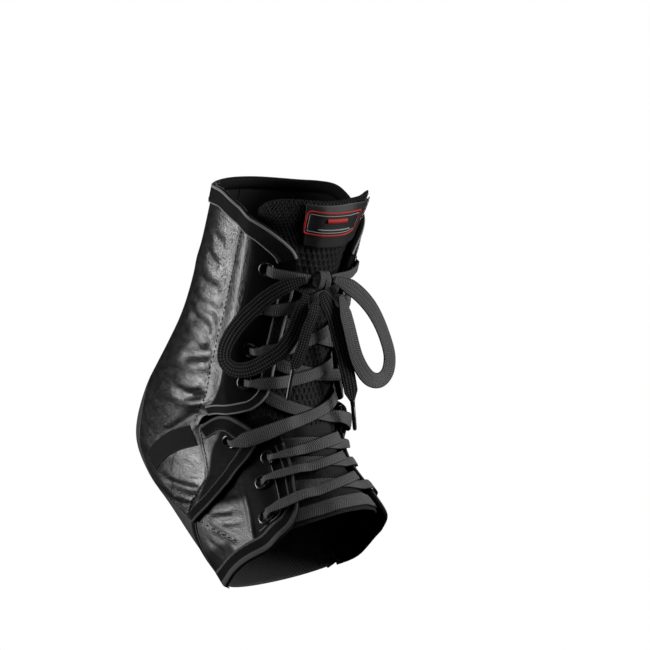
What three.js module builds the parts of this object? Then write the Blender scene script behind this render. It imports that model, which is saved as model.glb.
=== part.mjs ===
// Lace-up ankle brace for a right foot, shown as it is worn, with the heel a little raised.
// Millimetres. +Z is up, the toes point along -Y and the outer side of the ankle faces -X.
// Every piece lies on one form. A place on the form has a station t, from 0 above the collar
// to 1 beyond the foot opening, and an angle in degrees, from 0 at the front through 90 at the
// outer side to 180 at the back. Negative angles are on the inner side.
import * as THREE from 'three';

// Driving dimensions.
const FORM_LENGTH = 200;        // height of the form from the seat to the top station
const FORM_WIDTH = 70;          // width scale of the form at the ankle
const FABRIC = 1.6;             // coated fabric of the panels
const ELASTIC = 1.4;            // heel and sole elastic
const TONGUE_MIDDLE = 2.8;      // padded middle of the tongue
const TONGUE_SIDE = 1.3;        // thin sides of the tongue
const TONGUE_FLARE = 2.0;       // outward lean of the tongue's inner top corner
const TAPE = 1.0;               // binding tape
const TAPE_WIDTH = 8.5;
const FLAP_TAPE = 0.75;         // share of TAPE_WIDTH that binds the flap
const LABEL_THICK = 0.7;
const GAP = 0.4;                // clearance between layers
const LACE_THICK = 1.1;
const LACE_WIDTH = 7.6;
const LACE_FOLDED = 5.6;        // width over the instep, where the rows lie close
const LACE_NARROW = 3.8;        // width of the lace where it is drawn into an eyelet
const EYELET_OUTER = 4.0;       // radius
const EYELET_INNER = 2.4;       // radius
const EYELET_HEIGHT = 1.2;
const EYELET_MARGIN = 1.7;      // from the flap's binding to the rim of its eyelet
const AGLET_LENGTH = 15;
const AGLET_THICK = 2.6;

// Sections of the form: lengths are shares of FORM_LENGTH, the half width is a share of FORM_WIDTH.
// station, front y, front z, back y, back z, half width, place of the widest point
const SECTIONS = [
  [0.00, -0.615, 1.014, -0.280, 1.158, 0.553, 0.50],
  [0.12, -0.559, 0.851, -0.234, 0.987, 0.520, 0.50],
  [0.25, -0.500, 0.687, -0.168, 0.822, 0.486, 0.50],
  [0.36, -0.462, 0.542, -0.104, 0.673, 0.473, 0.50],
  [0.45, -0.443, 0.414, -0.042, 0.543, 0.496, 0.49],
  [0.53, -0.447, 0.313, 0.042, 0.432, 0.530, 0.47],
  [0.61, -0.467, 0.257, 0.155, 0.303, 0.510, 0.46],
  [0.68, -0.488, 0.222, 0.208, 0.166, 0.476, 0.50],
  [0.75, -0.507, 0.183, 0.139, 0.071, 0.476, 0.55],
  [0.82, -0.536, 0.144, 0.006, 0.000, 0.503, 0.60],
  [0.88, -0.575, 0.104, -0.134, -0.079, 0.553, 0.62],
  [0.94, -0.621, 0.053, -0.267, -0.150, 0.596, 0.62],
  [1.00, -0.675, -0.004, -0.400, -0.220, 0.637, 0.62],
];

// Panel edges on the outer side, as station and angle in degrees.
const COLLAR = [
  [0.215, 179.3], [0.213, 160], [0.209, 145], [0.202, 130], [0.190, 115], [0.180, 100], [0.183, 88], [0.189, 74],
  [0.195, 60], [0.202, 50], [0.217, 38], [0.232, 30], [0.245, 27],
];
const FRONT_EDGE = [
  [0.245, 27], [0.262, 24.5], [0.28, 24.5], [0.35, 27], [0.40, 29], [0.45, 31], [0.50, 33],
  [0.522, 37],
];
const LIP = [[0.547, 44], [0.557, 50], [0.568, 57], [0.578, 66], [0.592, 73], [0.607, 78]];
const SEAM = [[0.64, 79], [0.667, 76], [0.73, 73], [0.772, 73.5], [0.80, 80], [0.825, 91], [0.845, 103]];
const HEEL_SEAM = [[0.80, 124], [0.82, 114], [0.845, 103]];
const BACK_EDGE = [
  [0.215, 179.3], [0.27, 179.3], [0.36, 179.3], [0.44, 179.3], [0.475, 172], [0.50, 162], [0.527, 150],
  [0.603, 138], [0.657, 130], [0.703, 128], [0.75, 128], [0.80, 124],
];
const FLAP_BACK = [[0.632, 77.5], [0.667, 74.5], [0.73, 71.5], [0.772, 72], [0.80, 78.5], [0.825, 89.5], [0.845, 101]];
const FLAP_TOP = [[0.632, 77.5], [0.605, 71], [0.583, 63], [0.577, 54], [0.592, 47], [0.608, 44]];
const FLAP_TIP = [[0.608, 44], [0.633, 42], [0.672, 43]];
const FLAP_DIAGONAL = [[0.845, 101], [0.858, 96], [0.843, 79], [0.815, 66], [0.765, 54], [0.728, 47.5], [0.672, 43]];
const LOWER_FRONT = [
  [0.562, 33], [0.59, 29.5], [0.665, 28], [0.745, 26], [0.80, 27], [0.86, 30], [0.89, 32], [0.912, 36],
  [0.93, 42],
];
const LOWER_TOP = [[0.575, 45], [0.565, 38], [0.562, 33]];
const LOWER_BACK = [
  [0.575, 45], [0.62, 56], [0.66, 59], [0.72, 60], [0.77, 63], [0.81, 73], [0.838, 85], [0.858, 98.5],
  [0.89, 107], [0.94, 120], [0.952, 121.5],
];
const RIM = [[0.952, 121.5], [0.955, 104], [0.950, 90], [0.945, 75], [0.945, 60], [0.940, 51], [0.930, 42]];
const ELASTIC_EDGE = [
  [0.49, 172], [0.505, 164], [0.527, 152.5], [0.603, 140], [0.657, 132], [0.703, 130], [0.75, 130], [0.80, 126],
  [0.825, 116], [0.848, 105.5], [0.868, 103.5], [0.89, 109.5], [0.94, 122.5], [0.955, 124],
];
const TONGUE_EDGE = [[0.175, 62], [0.30, 61], [0.50, 60], [0.65, 52], [0.80, 46], [0.928, 45]];
const TONGUE_TOP = [
  [0.175, 62], [0.157, 57], [0.143, 46], [0.135, 30], [0.133, 0], [0.129, -18], [0.124, -30], [0.126, -39],
  [0.139, -49], [0.158, -57], [0.175, -62],
];
const LABEL_TOP = [[0.141, 27], [0.138, 0], [0.136, -20], [0.141, -42]];
const LABEL_BOTTOM = [[0.222, 23], [0.223, 0], [0.223, -20], [0.222, -42]];
const TAPE_LINE = [[0.656, 81], [0.674, 93], [0.704, 106], [0.726, 114.5]];
// Eyelets from the top row to the bottom row: station, angle, name of the piece that carries it.
// The flap's eyelet gets its angle below, from the width of the flap's binding.
const EYELETS = [
  [0.278, 46, 'main'], [0.357, 47, 'main'], [0.432, 48, 'main'], [0.493, 49, 'main'],
  [0.645, 0, 'flap'], [0.724, 37, 'lower'], [0.816, 44, 'lower'], [0.896, 50.5, 'lower'],
];
// Soft dents and folds of the coated panels: station, angle, length along the fold, width, height, slope.
const FOLDS = [
  [0.43, 88, 26, 5, 1.0, 0.2], [0.50, 96, 24, 5, 1.1, 0.3], [0.58, 104, 22, 5, 0.9, 0.2],
  [0.70, 108, 20, 6, 0.9, -0.2], [0.78, 106, 18, 5, 0.8, -0.3], [0.34, 110, 30, 7, 0.8, 0.1],
];

// The bow: station, angle and height above the form of the middle of each strap.
const KNOT = [0.281, 7, 8.8];
const LOOP_TURN = 38;                   // turn of the inner loop's face towards the outer side
const KNOT_SIZE = [6.2, 3.8, 5.4];      // half sizes across, outwards and down
const LOOP_LATERAL = [
  [0.276, 20, 11.5], [0.294, 32, 12], [0.320, 41, 12], [0.345, 47, 11.5], [0.377, 54, 11], [0.408, 59.5, 10.5],
  [0.438, 62.5, 10], [0.459, 61.5, 10], [0.470, 56, 10.5], [0.467, 49, 11], [0.455, 42.5, 11.5], [0.437, 36, 12],
  [0.413, 28, 12], [0.380, 22.5, 12], [0.345, 20, 11.5], [0.306, 18, 10.5],
];
const LOOP_MEDIAL = [
  [0.279, -2.5, 9.3], [0.298, -16, 13.5], [0.340, -30, 20], [0.397, -38, 27], [0.455, -41, 31], [0.488, -39, 30],
  [0.500, -34.5, 27], [0.488, -27, 23.5], [0.440, -19, 20.5], [0.365, -11.5, 17], [0.308, -6, 13],
];
const END_LATERAL = [[0.316, 11.5, 12], [0.340, 13, 14.2], [0.370, 15.5, 14.5], [0.402, 17, 14.5], [0.450, 21, 14]];
const END_MEDIAL = [[0.305, 5.5, 8.9], [0.345, -3, 11.5], [0.400, -10, 14], [0.470, -17, 16], [0.540, -20, 16]];

const rad = (degrees) => degrees * Math.PI / 180;
const smooth = (x) => {
  const s = Math.min(1, Math.max(0, x));
  return s * s * (3 - 2 * s);
};

// Smooth value of one column of a table at x.
function column(table, x, k) {
  let i = 0;
  while (i < table.length - 2 && x > table[i + 1][0]) i += 1;
  const slope = (j) => {
    const a = Math.max(0, j - 1);
    const b = Math.min(table.length - 1, j + 1);
    return (table[b][k] - table[a][k]) / (table[b][0] - table[a][0]);
  };
  const h = table[i + 1][0] - table[i][0];
  const s = (x - table[i][0]) / h;
  const s2 = s * s;
  const s3 = s2 * s;
  return (2 * s3 - 3 * s2 + 1) * table[i][k] + (s3 - 2 * s2 + s) * h * slope(i)
    + (3 * s2 - 2 * s3) * table[i + 1][k] + (s3 - s2) * h * slope(i + 1);
}

function onForm(t, angle) {
  const [fy, fz, by, bz, w, m] = [1, 2, 3, 4, 5, 6].map((k) => column(SECTIONS, t, k));
  const p = rad(angle);
  const c = (1 - Math.cos(p)) / 2 + (m - 0.5) * Math.sin(p) ** 2;
  return new THREE.Vector3(
    -w * FORM_WIDTH * Math.sin(p),
    (fy + (by - fy) * c) * FORM_LENGTH,
    (fz + (bz - fz) * c) * FORM_LENGTH,
  );
}

function slopes(t, angle) {
  const down = onForm(t + 0.002, angle).sub(onForm(t - 0.002, angle)).divideScalar(0.004);
  const round = onForm(t, angle + 0.5).sub(onForm(t, angle - 0.5));
  return { down, round, normal: round.clone().cross(down).normalize() };
}

function lifted(t, angle, height) {
  return onForm(t, angle).addScaledVector(slopes(t, angle).normal, height);
}

// Evenly spaced point at share s of a polyline of [station, angle] pairs.
function along(line, s) {
  const size = (a, b) => Math.hypot((b[0] - a[0]) * 230, (b[1] - a[1]) * 0.62);
  const lengths = line.slice(1).map((p, i) => size(line[i], p));
  let rest = s * lengths.reduce((a, b) => a + b, 0);
  let i = 0;
  while (i < lengths.length - 1 && rest > lengths[i]) {
    rest -= lengths[i];
    i += 1;
  }
  const q = Math.min(1, rest / lengths[i]);
  return [0, 1].map((k) => line[i][k] + (line[i + 1][k] - line[i][k]) * q);
}

const mirrored = (line) => line.map(([t, a]) => [t, -a]);
const reversed = (line) => [...line].reverse();
const sided = (line, side) => (side > 0 ? line : mirrored(line));

// Patch between four edges; u runs from the back edge to the front edge, v from top to bottom.
function patch({ top, bottom, back, front }) {
  const a = back[0];
  const b = front[0];
  const c = back[back.length - 1];
  const d = front[front.length - 1];
  return (u, v) => [0, 1].map((k) => (1 - v) * along(top, u)[k] + v * along(bottom, u)[k]
    + (1 - u) * along(back, v)[k] + u * along(front, v)[k]
    - ((1 - u) * (1 - v) * a[k] + u * (1 - v) * b[k] + (1 - u) * v * c[k] + u * v * d[k]));
}

// Closed solid between two grids of points.
function slab(under, over) {
  const rows = under.length;
  const cols = under[0].length;
  const points = [...under.flat(), ...over.flat()];
  const at = (layer, i, j) => layer * rows * cols + i * cols + j;
  const faces = [];
  const quad = (a, b, c, d) => faces.push([a, b, c], [a, c, d]);
  for (let i = 0; i < rows - 1; i += 1) {
    for (let j = 0; j < cols - 1; j += 1) {
      quad(at(1, i, j), at(1, i + 1, j), at(1, i + 1, j + 1), at(1, i, j + 1));
      quad(at(0, i, j), at(0, i, j + 1), at(0, i + 1, j + 1), at(0, i + 1, j));
    }
  }
  for (let i = 0; i < rows - 1; i += 1) {
    quad(at(0, i, 0), at(0, i + 1, 0), at(1, i + 1, 0), at(1, i, 0));
    quad(at(0, i + 1, cols - 1), at(0, i, cols - 1), at(1, i, cols - 1), at(1, i + 1, cols - 1));
  }
  for (let j = 0; j < cols - 1; j += 1) {
    quad(at(0, 0, j + 1), at(0, 0, j), at(1, 0, j), at(1, 0, j + 1));
    quad(at(0, rows - 1, j), at(0, rows - 1, j + 1), at(1, rows - 1, j + 1), at(1, rows - 1, j));
  }
  let volume = 0;
  for (const [a, b, c] of faces) volume += points[a].dot(points[b].clone().cross(points[c]));
  const geometry = new THREE.BufferGeometry();
  geometry.setAttribute('position', new THREE.Float32BufferAttribute(points.flatMap((p) => p.toArray()), 3));
  geometry.setIndex(faces.flatMap((f) => (volume > 0 ? f : [f[0], f[2], f[1]])));
  geometry.computeVertexNormals();
  return geometry;
}

function sheet(place, across, down, lift, thickness) {
  const under = [];
  const over = [];
  for (let i = 0; i <= down; i += 1) {
    const spots = Array.from({ length: across + 1 }, (_, j) => place(j / across, i / down));
    under.push(spots.map(([t, a]) => lifted(t, a, lift(t, a))));
    over.push(spots.map(([t, a]) => lifted(t, a, lift(t, a) + thickness(t, a))));
  }
  return slab(under, over);
}

// Spot reached from [t, angle] after a walk of the given length in the given direction on the form.
function walk([t, angle], direction, distance) {
  const { down, round } = slopes(t, angle);
  const dd = down.dot(down);
  const dr = down.dot(round);
  const rr = round.dot(round);
  const gd = direction.dot(down) * distance;
  const gr = direction.dot(round) * distance;
  const det = dd * rr - dr * dr;
  return [t + (gd * rr - gr * dr) / det, angle + (gr * dd - gd * dr) / det];
}

// Strip that follows a line on the form, from `left` to `right` of it.
function strip(line, steps, across, left, right, lift, thickness) {
  const under = [];
  const over = [];
  for (let i = 0; i <= steps; i += 1) {
    const s = i / steps;
    const spot = along(line, s);
    const before = along(line, Math.max(0, s - 0.5 / steps));
    const after = along(line, Math.min(1, s + 0.5 / steps));
    const forward = onForm(...after).sub(onForm(...before)).normalize();
    const side = slopes(...spot).normal.clone().cross(forward).normalize();
    const low = [];
    const high = [];
    for (let j = 0; j <= across; j += 1) {
      const x = left(s) + (right(s) - left(s)) * j / across;
      const [t, a] = walk(spot, side, x);
      const height = lift(t, a, s, x);
      low.push(lifted(t, a, height));
      high.push(lifted(t, a, height + thickness));
    }
    under.push(low);
    over.push(high);
  }
  return slab(under, over);
}

const lineAt = (line, t) => {
  let i = 0;
  while (i < line.length - 2 && t > line[i + 1][0]) i += 1;
  const q = Math.min(1, Math.max(0, (t - line[i][0]) / (line[i + 1][0] - line[i][0])));
  return line[i][1] + (line[i + 1][1] - line[i][1]) * q;
};

// Layer heights above the form.
const tongueLift = (t, a) => GAP + TONGUE_FLARE * smooth((0.22 - t) / 0.07) * smooth((-a - 8) / 18);
const tongueThickness = (t, a) => TONGUE_SIDE
  + (TONGUE_MIDDLE - TONGUE_SIDE) * (1 - smooth((Math.abs(a) - 10) / 12)) * smooth((t - 0.13) / 0.03);
const tongueTop = (t, a) => tongueLift(t, a) + tongueThickness(t, a);
const OVER_TONGUE = GAP + TONGUE_SIDE + 2.5 * GAP + LACE_THICK;
function folds(t, a) {
  let height = 0;
  for (const [ft, fa, long, wide, high, lean] of FOLDS) {
    const x = (Math.abs(a) - fa) * 0.62;
    const y = (t - ft) * 230 - lean * x;
    height += high * Math.exp(-((x / long) ** 2) * 2 - ((y / wide) ** 2) * 2);
  }
  return height;
}
const tongueSide = (t) => lineAt(TONGUE_EDGE, t);
const panelLift = (t, a) => GAP + folds(t, a)
  + (OVER_TONGUE - GAP) * (1 - smooth((Math.abs(a) - tongueSide(t) - 1) / 15));
const panelTop = (t, a) => panelLift(t, a) + FABRIC;
const flapLift = (t, a) => panelLift(t, a)
  + (FABRIC + 2 * GAP) * (1 - smooth((Math.abs(a) - lineAt(LOWER_BACK, t) - 3) / 11.5));
const flapTop = (t, a) => flapLift(t, a) + FABRIC;

function inside(loop, t, a) {
  let hit = false;
  for (let i = 0, j = loop.length - 1; i < loop.length; j = i, i += 1) {
    const [ti, ai] = loop[i];
    const [tj, aj] = loop[j];
    if ((ai > a) !== (aj > a) && t < (tj - ti) * (a - ai) / (aj - ai) + ti) hit = !hit;
  }
  return hit;
}
const MAIN_LOOP = [...COLLAR, ...FRONT_EDGE, ...LIP, ...SEAM, ...reversed(HEEL_SEAM), ...reversed(BACK_EDGE)];
const FLAP_LOOP = [...FLAP_TOP, ...FLAP_TIP, ...reversed(FLAP_DIAGONAL), ...reversed(FLAP_BACK)];
const LOWER_LOOP = [...reversed(LOWER_TOP), ...LOWER_BACK, ...RIM, ...reversed(LOWER_FRONT)];
// Height of the outermost layer, with room for the binding tape on every panel.
function outerTop(t, angle) {
  const a = Math.abs(angle);
  if (inside(FLAP_LOOP, t, a)) return flapTop(t, a) + GAP + TAPE;
  if (inside(MAIN_LOOP, t, a) || inside(LOWER_LOOP, t, a)) return panelTop(t, a) + GAP + TAPE;
  return tongueTop(t, a);
}

const group = new THREE.Group();
const black = (shade, roughness) => new THREE.MeshStandardMaterial({
  color: new THREE.Color(shade, shade, shade), roughness, metalness: 0,
});
const COATED = black(0.03, 0.35);
const WOVEN = black(0.02, 0.85);
const STRETCH = black(0.05, 0.7);
const MESH_CLOTH = black(0.02, 0.9);
const LACE = black(0.03, 0.8);
const RING = black(0.01, 0.3);
const PATCH = black(0.06, 0.7);
function add(name, geometry, material) {
  const mesh = new THREE.Mesh(geometry, material);
  mesh.name = name;
  group.add(mesh);
  return mesh;
}

function addPanels(side, name) {
  const main = patch({
    top: sided(COLLAR, side),
    bottom: sided(HEEL_SEAM, side),
    back: sided(BACK_EDGE, side),
    front: sided([...FRONT_EDGE, ...LIP, ...SEAM], side),
  });
  add(`main_panel_${name}`, sheet(main, 11, 22, panelLift, () => FABRIC), COATED);
  const flap = patch({
    top: sided(FLAP_TOP, side),
    bottom: sided(FLAP_DIAGONAL, side),
    back: sided(FLAP_BACK, side),
    front: sided(FLAP_TIP, side),
  });
  add(`flap_${name}`, sheet(flap, 11, 8, flapLift, () => FABRIC), COATED);
  const lower = patch({
    top: sided(LOWER_TOP, side),
    bottom: sided(RIM, side),
    back: sided(LOWER_BACK, side),
    front: sided(LOWER_FRONT, side),
  });
  add(`lower_panel_${name}`, sheet(lower, 7, 13, panelLift, () => FABRIC), COATED);
}

function addBindings(side, name) {
  const inward = (width, later = width) => [
    () => 0,
    (s) => -side * (width + (later - width) * smooth((s - 0.42) / 0.2)),
  ];
  const onPanel = (t, a) => panelTop(t, a) + GAP;
  const front = sided([...FRONT_EDGE.slice(2), ...LIP.slice(0, 4)], side);
  add(`front_binding_${name}`, strip(front, 24, 2, ...inward(TAPE_WIDTH * 0.6, TAPE_WIDTH * 0.66), onPanel, TAPE), WOVEN);
  const flapLine = sided([...FLAP_TOP.slice(1, 4), ...FLAP_TIP, ...reversed(FLAP_DIAGONAL.slice(1, 6))], side);
  const onFlap = (t, a) => flapTop(t, a) + GAP * 1.8;
  add(`flap_binding_${name}`, strip(flapLine, 24, 2, ...inward(TAPE_WIDTH * FLAP_TAPE), onFlap, TAPE), WOVEN);
  const lowerLine = sided([...LOWER_FRONT.slice(2), ...reversed(RIM).slice(1)], side);
  const lowerWidth = inward(TAPE_WIDTH * 0.4, TAPE_WIDTH * 0.9);
  add(`lower_binding_${name}`, strip(lowerLine, 22, 2, ...lowerWidth, onPanel, TAPE), WOVEN);
  const onTape = (t, a) => panelTop(t, a) + GAP * 1.5;
  const wide = [() => -TAPE_WIDTH * 0.68, () => TAPE_WIDTH * 0.68];
  add(`side_tape_${name}`, strip(sided(TAPE_LINE, side), 7, 4, ...wide, onTape, TAPE), WOVEN);
}

function addCollar() {
  const edge = [...reversed(COLLAR), ...mirrored(COLLAR.slice(1)).map(([t, a]) => [t, a + 360])];
  const lift = (t, a) => panelTop(t, a > 180 ? 360 - a : a) + GAP * 1.8;
  add('collar_binding', strip(edge, 46, 2, () => 0, () => TAPE_WIDTH, lift, TAPE), WOVEN);
}

function addElastic() {
  const other = ELASTIC_EDGE.map(([t, a]) => [t, 360 - a]);
  const place = patch({
    top: [ELASTIC_EDGE[0], other[0]],
    bottom: [ELASTIC_EDGE[ELASTIC_EDGE.length - 1], other[other.length - 1]],
    back: ELASTIC_EDGE,
    front: other,
  });
  add('heel_sole_elastic', sheet(place, 6, 22, () => GAP, () => ELASTIC), STRETCH);
}

function addTongue() {
  const place = patch({
    top: TONGUE_TOP,
    bottom: [[0.928, 45], [0.928, 0], [0.928, -45]],
    back: TONGUE_EDGE,
    front: mirrored(TONGUE_EDGE),
  });
  add('tongue', sheet(place, 10, 20, tongueLift, tongueThickness), MESH_CLOTH);
  const label = patch({
    top: LABEL_TOP,
    bottom: LABEL_BOTTOM,
    back: [LABEL_TOP[0], LABEL_BOTTOM[0]],
    front: [LABEL_TOP[3], LABEL_BOTTOM[3]],
  });
  add('tongue_label', sheet(label, 8, 4, (t, a) => tongueTop(t, a) + GAP * 1.6, () => LABEL_THICK), PATCH);
}

// The flap's eyelet lies a margin behind the binding of the flap's tip.
function placeFlapEyelet() {
  const row = EYELETS.findIndex((eyelet) => eyelet[2] === 'flap');
  const edge = [EYELETS[row][0], lineAt(FLAP_TIP, EYELETS[row][0])];
  const reach = TAPE_WIDTH * FLAP_TAPE + EYELET_OUTER + EYELET_MARGIN;
  EYELETS[row][1] = walk(edge, slopes(...edge).round.normalize(), reach)[1];
}

function addEyelets(side, name) {
  const profile = [
    [EYELET_INNER, 0], [EYELET_OUTER, 0], [EYELET_OUTER - 0.5, EYELET_HEIGHT], [EYELET_INNER, EYELET_HEIGHT],
    [EYELET_INNER, 0],
  ].map(([r, h]) => new THREE.Vector2(r, h));
  EYELETS.forEach(([t, angle, carrier], row) => {
    const a = angle * side;
    const base = (carrier === 'flap' ? flapTop(t, a) : panelTop(t, a)) + GAP;
    const mesh = add(`eyelet_${name}_${row + 1}`, new THREE.LatheGeometry(profile, 8), RING);
    mesh.position.copy(lifted(t, a, base));
    mesh.quaternion.setFromUnitVectors(new THREE.Vector3(0, 1, 0), slopes(t, a).normal);
  });
}

// Angle where the front edge of the panel that carries a row lies at station t.
const edgeAngle = (t) => (t < 0.54 ? lineAt(FRONT_EDGE, t) : lineAt(LOWER_FRONT, t));

// Lace from the eyelet of one row, over its panel edge and the tongue, under the opposite edge.
function crossing(row, side) {
  const [t0, a0] = EYELETS[row];
  const [t1] = EYELETS[row - 1];
  const steps = 12;
  const line = [[t0, a0 * side], [t1 + (row > 4 ? 0.015 : 0.01), -(edgeAngle(t1) + 8) * side]];
  const full = row > 4 ? LACE_FOLDED : LACE_WIDTH;
  const half = (s) => {
    const [t, a] = along(line, s);
    const middle = 1 - smooth((Math.abs(a) - edgeAngle(t) + 17) / 6);
    return (LACE_NARROW + (full - LACE_NARROW) * middle) / 2;
  };
  const highest = (s) => {
    let top = 0;
    for (let k = -5; k <= 5; k += 1) {
      const [t, a] = along(line, Math.min(1, Math.max(0, s + k * 0.22 / steps)));
      const far = a * side < -(edgeAngle(t) - 4);
      const level = (x) => (far ? tongueTop(t, a) : outerTop(t + x, a));
      top = Math.max(top, level(-0.012), level(0), level(0.012));
    }
    return top;
  };
  const rise = (s) => {
    const [t, a] = along(line, s);
    const start = GAP * 1.5 * (1 - smooth((s - 0.1) / 0.1));
    const far = (-a * side - edgeAngle(t) + 11) / 6;
    const over = side > 0 ? (LACE_THICK + GAP) * (1 - smooth(far)) : 0;
    return start + over;
  };
  const lift = (t, a, s) => highest(s) + GAP + rise(s);
  return strip(line, steps, 2, (s) => -half(s), half, lift, LACE_THICK);
}

function addLaces() {
  for (let row = EYELETS.length - 1; row > 0; row -= 1) {
    add(`lace_cross_lateral_${row + 1}`, crossing(row, 1), LACE);
    add(`lace_cross_medial_${row + 1}`, crossing(row, -1), LACE);
  }
  const [t] = EYELETS[EYELETS.length - 1];
  const reach = edgeAngle(t) + 8;
  const half = () => LACE_WIDTH / 2;
  const level = (tt, a) => tongueTop(tt, a) + GAP;
  const line = [[t + 0.012, reach], [t + 0.012, -reach]];
  add('lace_bar', strip(line, 12, 2, () => -LACE_WIDTH / 2, half, level, LACE_THICK), LACE);
}

// Flat strap through places above the form; `turn` in degrees swings its face towards the outer side.
function strap(places, steps, width, ends = [1, 1], turn = 0) {
  const curve = new THREE.CatmullRomCurve3(places.map((p) => lifted(...p)), false, 'centripetal');
  const turned = (i) => turn * smooth(Math.min(i, places.length - 1 - i) / 3);
  const facing = new THREE.CatmullRomCurve3(places.map(([t, a], i) => slopes(t, a + turned(i)).normal));
  const under = [];
  const over = [];
  for (let i = 0; i <= steps; i += 1) {
    const s = i / steps;
    const u = curve.getUtoTmapping(s);
    const forward = curve.getTangent(u);
    const side = forward.clone().cross(facing.getPoint(u)).normalize();
    const out = side.clone().cross(forward).normalize();
    const share = Math.min(ends[0] + s * 8, ends[1] + (1 - s) * 8, 1);
    const row = [-1, 0, 1].map((k) => curve.getPoint(u).addScaledVector(side, k * share * width / 2));
    under.push(row.map((p) => p.clone().addScaledVector(out, -LACE_THICK / 2)));
    over.push(row.map((p) => p.clone().addScaledVector(out, LACE_THICK / 2)));
  }
  return slab(under, over);
}

// Lace from a top eyelet, over the panel edge, up to the side of the knot.
function topRun(side) {
  const [t0, a0] = EYELETS[0];
  const edge = edgeAngle(t0);
  const [tk, ak, hk] = KNOT;
  const reach = KNOT_SIZE[0] + GAP;
  const stop = walk([tk, ak], onForm(tk, ak + side).sub(onForm(tk, ak)).normalize(), reach);
  const over = outerTop(t0, edge + 4) + GAP * 2.5 + LACE_THICK / 2;
  const places = [
    [t0, a0 * side, over], [t0, (edge + 10) * side, over], [t0, edge * side, over + 0.4],
    [(t0 + tk) / 2, (edge - 6) * side, Math.max(over, hk - 1)], [tk, stop[1], hk - 1.4],
  ];
  return strap(places, 9, LACE_NARROW + 1.6, [0.7, 0.8]);
}

function addKnot() {
  const mesh = add('bow_knot', new THREE.SphereGeometry(1, 10, 6), LACE);
  mesh.scale.set(...KNOT_SIZE);
  mesh.position.copy(lifted(...KNOT));
  const { normal, round } = slopes(KNOT[0], KNOT[1]);
  const down = round.clone().cross(normal).normalize();
  mesh.quaternion.setFromRotationMatrix(new THREE.Matrix4().makeBasis(normal.clone().cross(down), normal, down));
}

function addAglet(name, places) {
  const [before, last] = places.slice(-2).map((p) => lifted(...p));
  const forward = last.clone().sub(before).normalize().lerp(new THREE.Vector3(0, 0, -1), 0.5).normalize();
  const shape = new THREE.CylinderGeometry(AGLET_THICK / 2, AGLET_THICK / 2, AGLET_LENGTH, 8);
  const mesh = add(name, shape, RING);
  mesh.quaternion.setFromUnitVectors(new THREE.Vector3(0, 1, 0), forward);
  mesh.position.copy(last).addScaledVector(forward, AGLET_LENGTH / 2 + GAP);
}

function addBow() {
  add('lace_top_lateral', topRun(1), LACE);
  add('lace_top_medial', topRun(-1), LACE);
  addKnot();
  add('bow_loop_lateral', strap(LOOP_LATERAL, 22, LACE_WIDTH, [0.4, 0.4]), LACE);
  add('bow_loop_medial', strap(LOOP_MEDIAL, 18, LACE_WIDTH, [0.4, 0.4], LOOP_TURN), LACE);
  add('bow_end_lateral', strap(END_LATERAL, 10, LACE_WIDTH, [0.4, 0.35]), LACE);
  add('bow_end_medial', strap(END_MEDIAL, 12, LACE_WIDTH, [0.4, 0.35]), LACE);
  addAglet('aglet_lateral', END_LATERAL);
  addAglet('aglet_medial', END_MEDIAL);
}

placeFlapEyelet();
for (const [side, name] of [[1, 'lateral'], [-1, 'medial']]) {
  addPanels(side, name);
  addBindings(side, name);
  addEyelets(side, name);
}
addCollar();
addElastic();
addTongue();
addLaces();
addBow();

export default group;
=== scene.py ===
"""Lace-up ankle brace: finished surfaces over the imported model.

Metres, in the model's own frame. A place on the form has a station t, from 0 above the collar to 1
at the lower opening, and an angle in degrees: 0 at the front, 90 at the outer side, 180 at the
back, and negative on the inner side. Heights are measured outwards from the form.
"""
import math

import bpy
import numpy as np
from mathutils import Euler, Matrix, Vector


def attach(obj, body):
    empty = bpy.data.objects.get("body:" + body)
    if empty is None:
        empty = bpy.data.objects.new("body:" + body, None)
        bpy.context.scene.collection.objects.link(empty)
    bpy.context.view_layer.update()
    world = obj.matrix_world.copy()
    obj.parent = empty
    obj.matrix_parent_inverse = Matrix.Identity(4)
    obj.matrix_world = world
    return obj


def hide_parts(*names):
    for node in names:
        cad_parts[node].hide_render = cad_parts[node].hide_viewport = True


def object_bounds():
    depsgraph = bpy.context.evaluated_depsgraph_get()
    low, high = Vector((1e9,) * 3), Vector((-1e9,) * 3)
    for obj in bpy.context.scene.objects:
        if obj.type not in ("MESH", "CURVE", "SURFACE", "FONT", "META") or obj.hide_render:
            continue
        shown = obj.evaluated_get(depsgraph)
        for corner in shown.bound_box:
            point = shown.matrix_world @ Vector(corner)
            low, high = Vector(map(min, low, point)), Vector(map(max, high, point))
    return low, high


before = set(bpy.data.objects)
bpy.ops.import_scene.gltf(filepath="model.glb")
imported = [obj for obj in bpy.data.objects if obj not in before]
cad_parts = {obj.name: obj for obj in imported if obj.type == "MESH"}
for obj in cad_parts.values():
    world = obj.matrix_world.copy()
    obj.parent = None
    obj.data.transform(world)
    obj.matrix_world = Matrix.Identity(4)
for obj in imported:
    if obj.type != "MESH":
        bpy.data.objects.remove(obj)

CAD_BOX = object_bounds()
MM = 0.001
BODY = "root"

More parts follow.
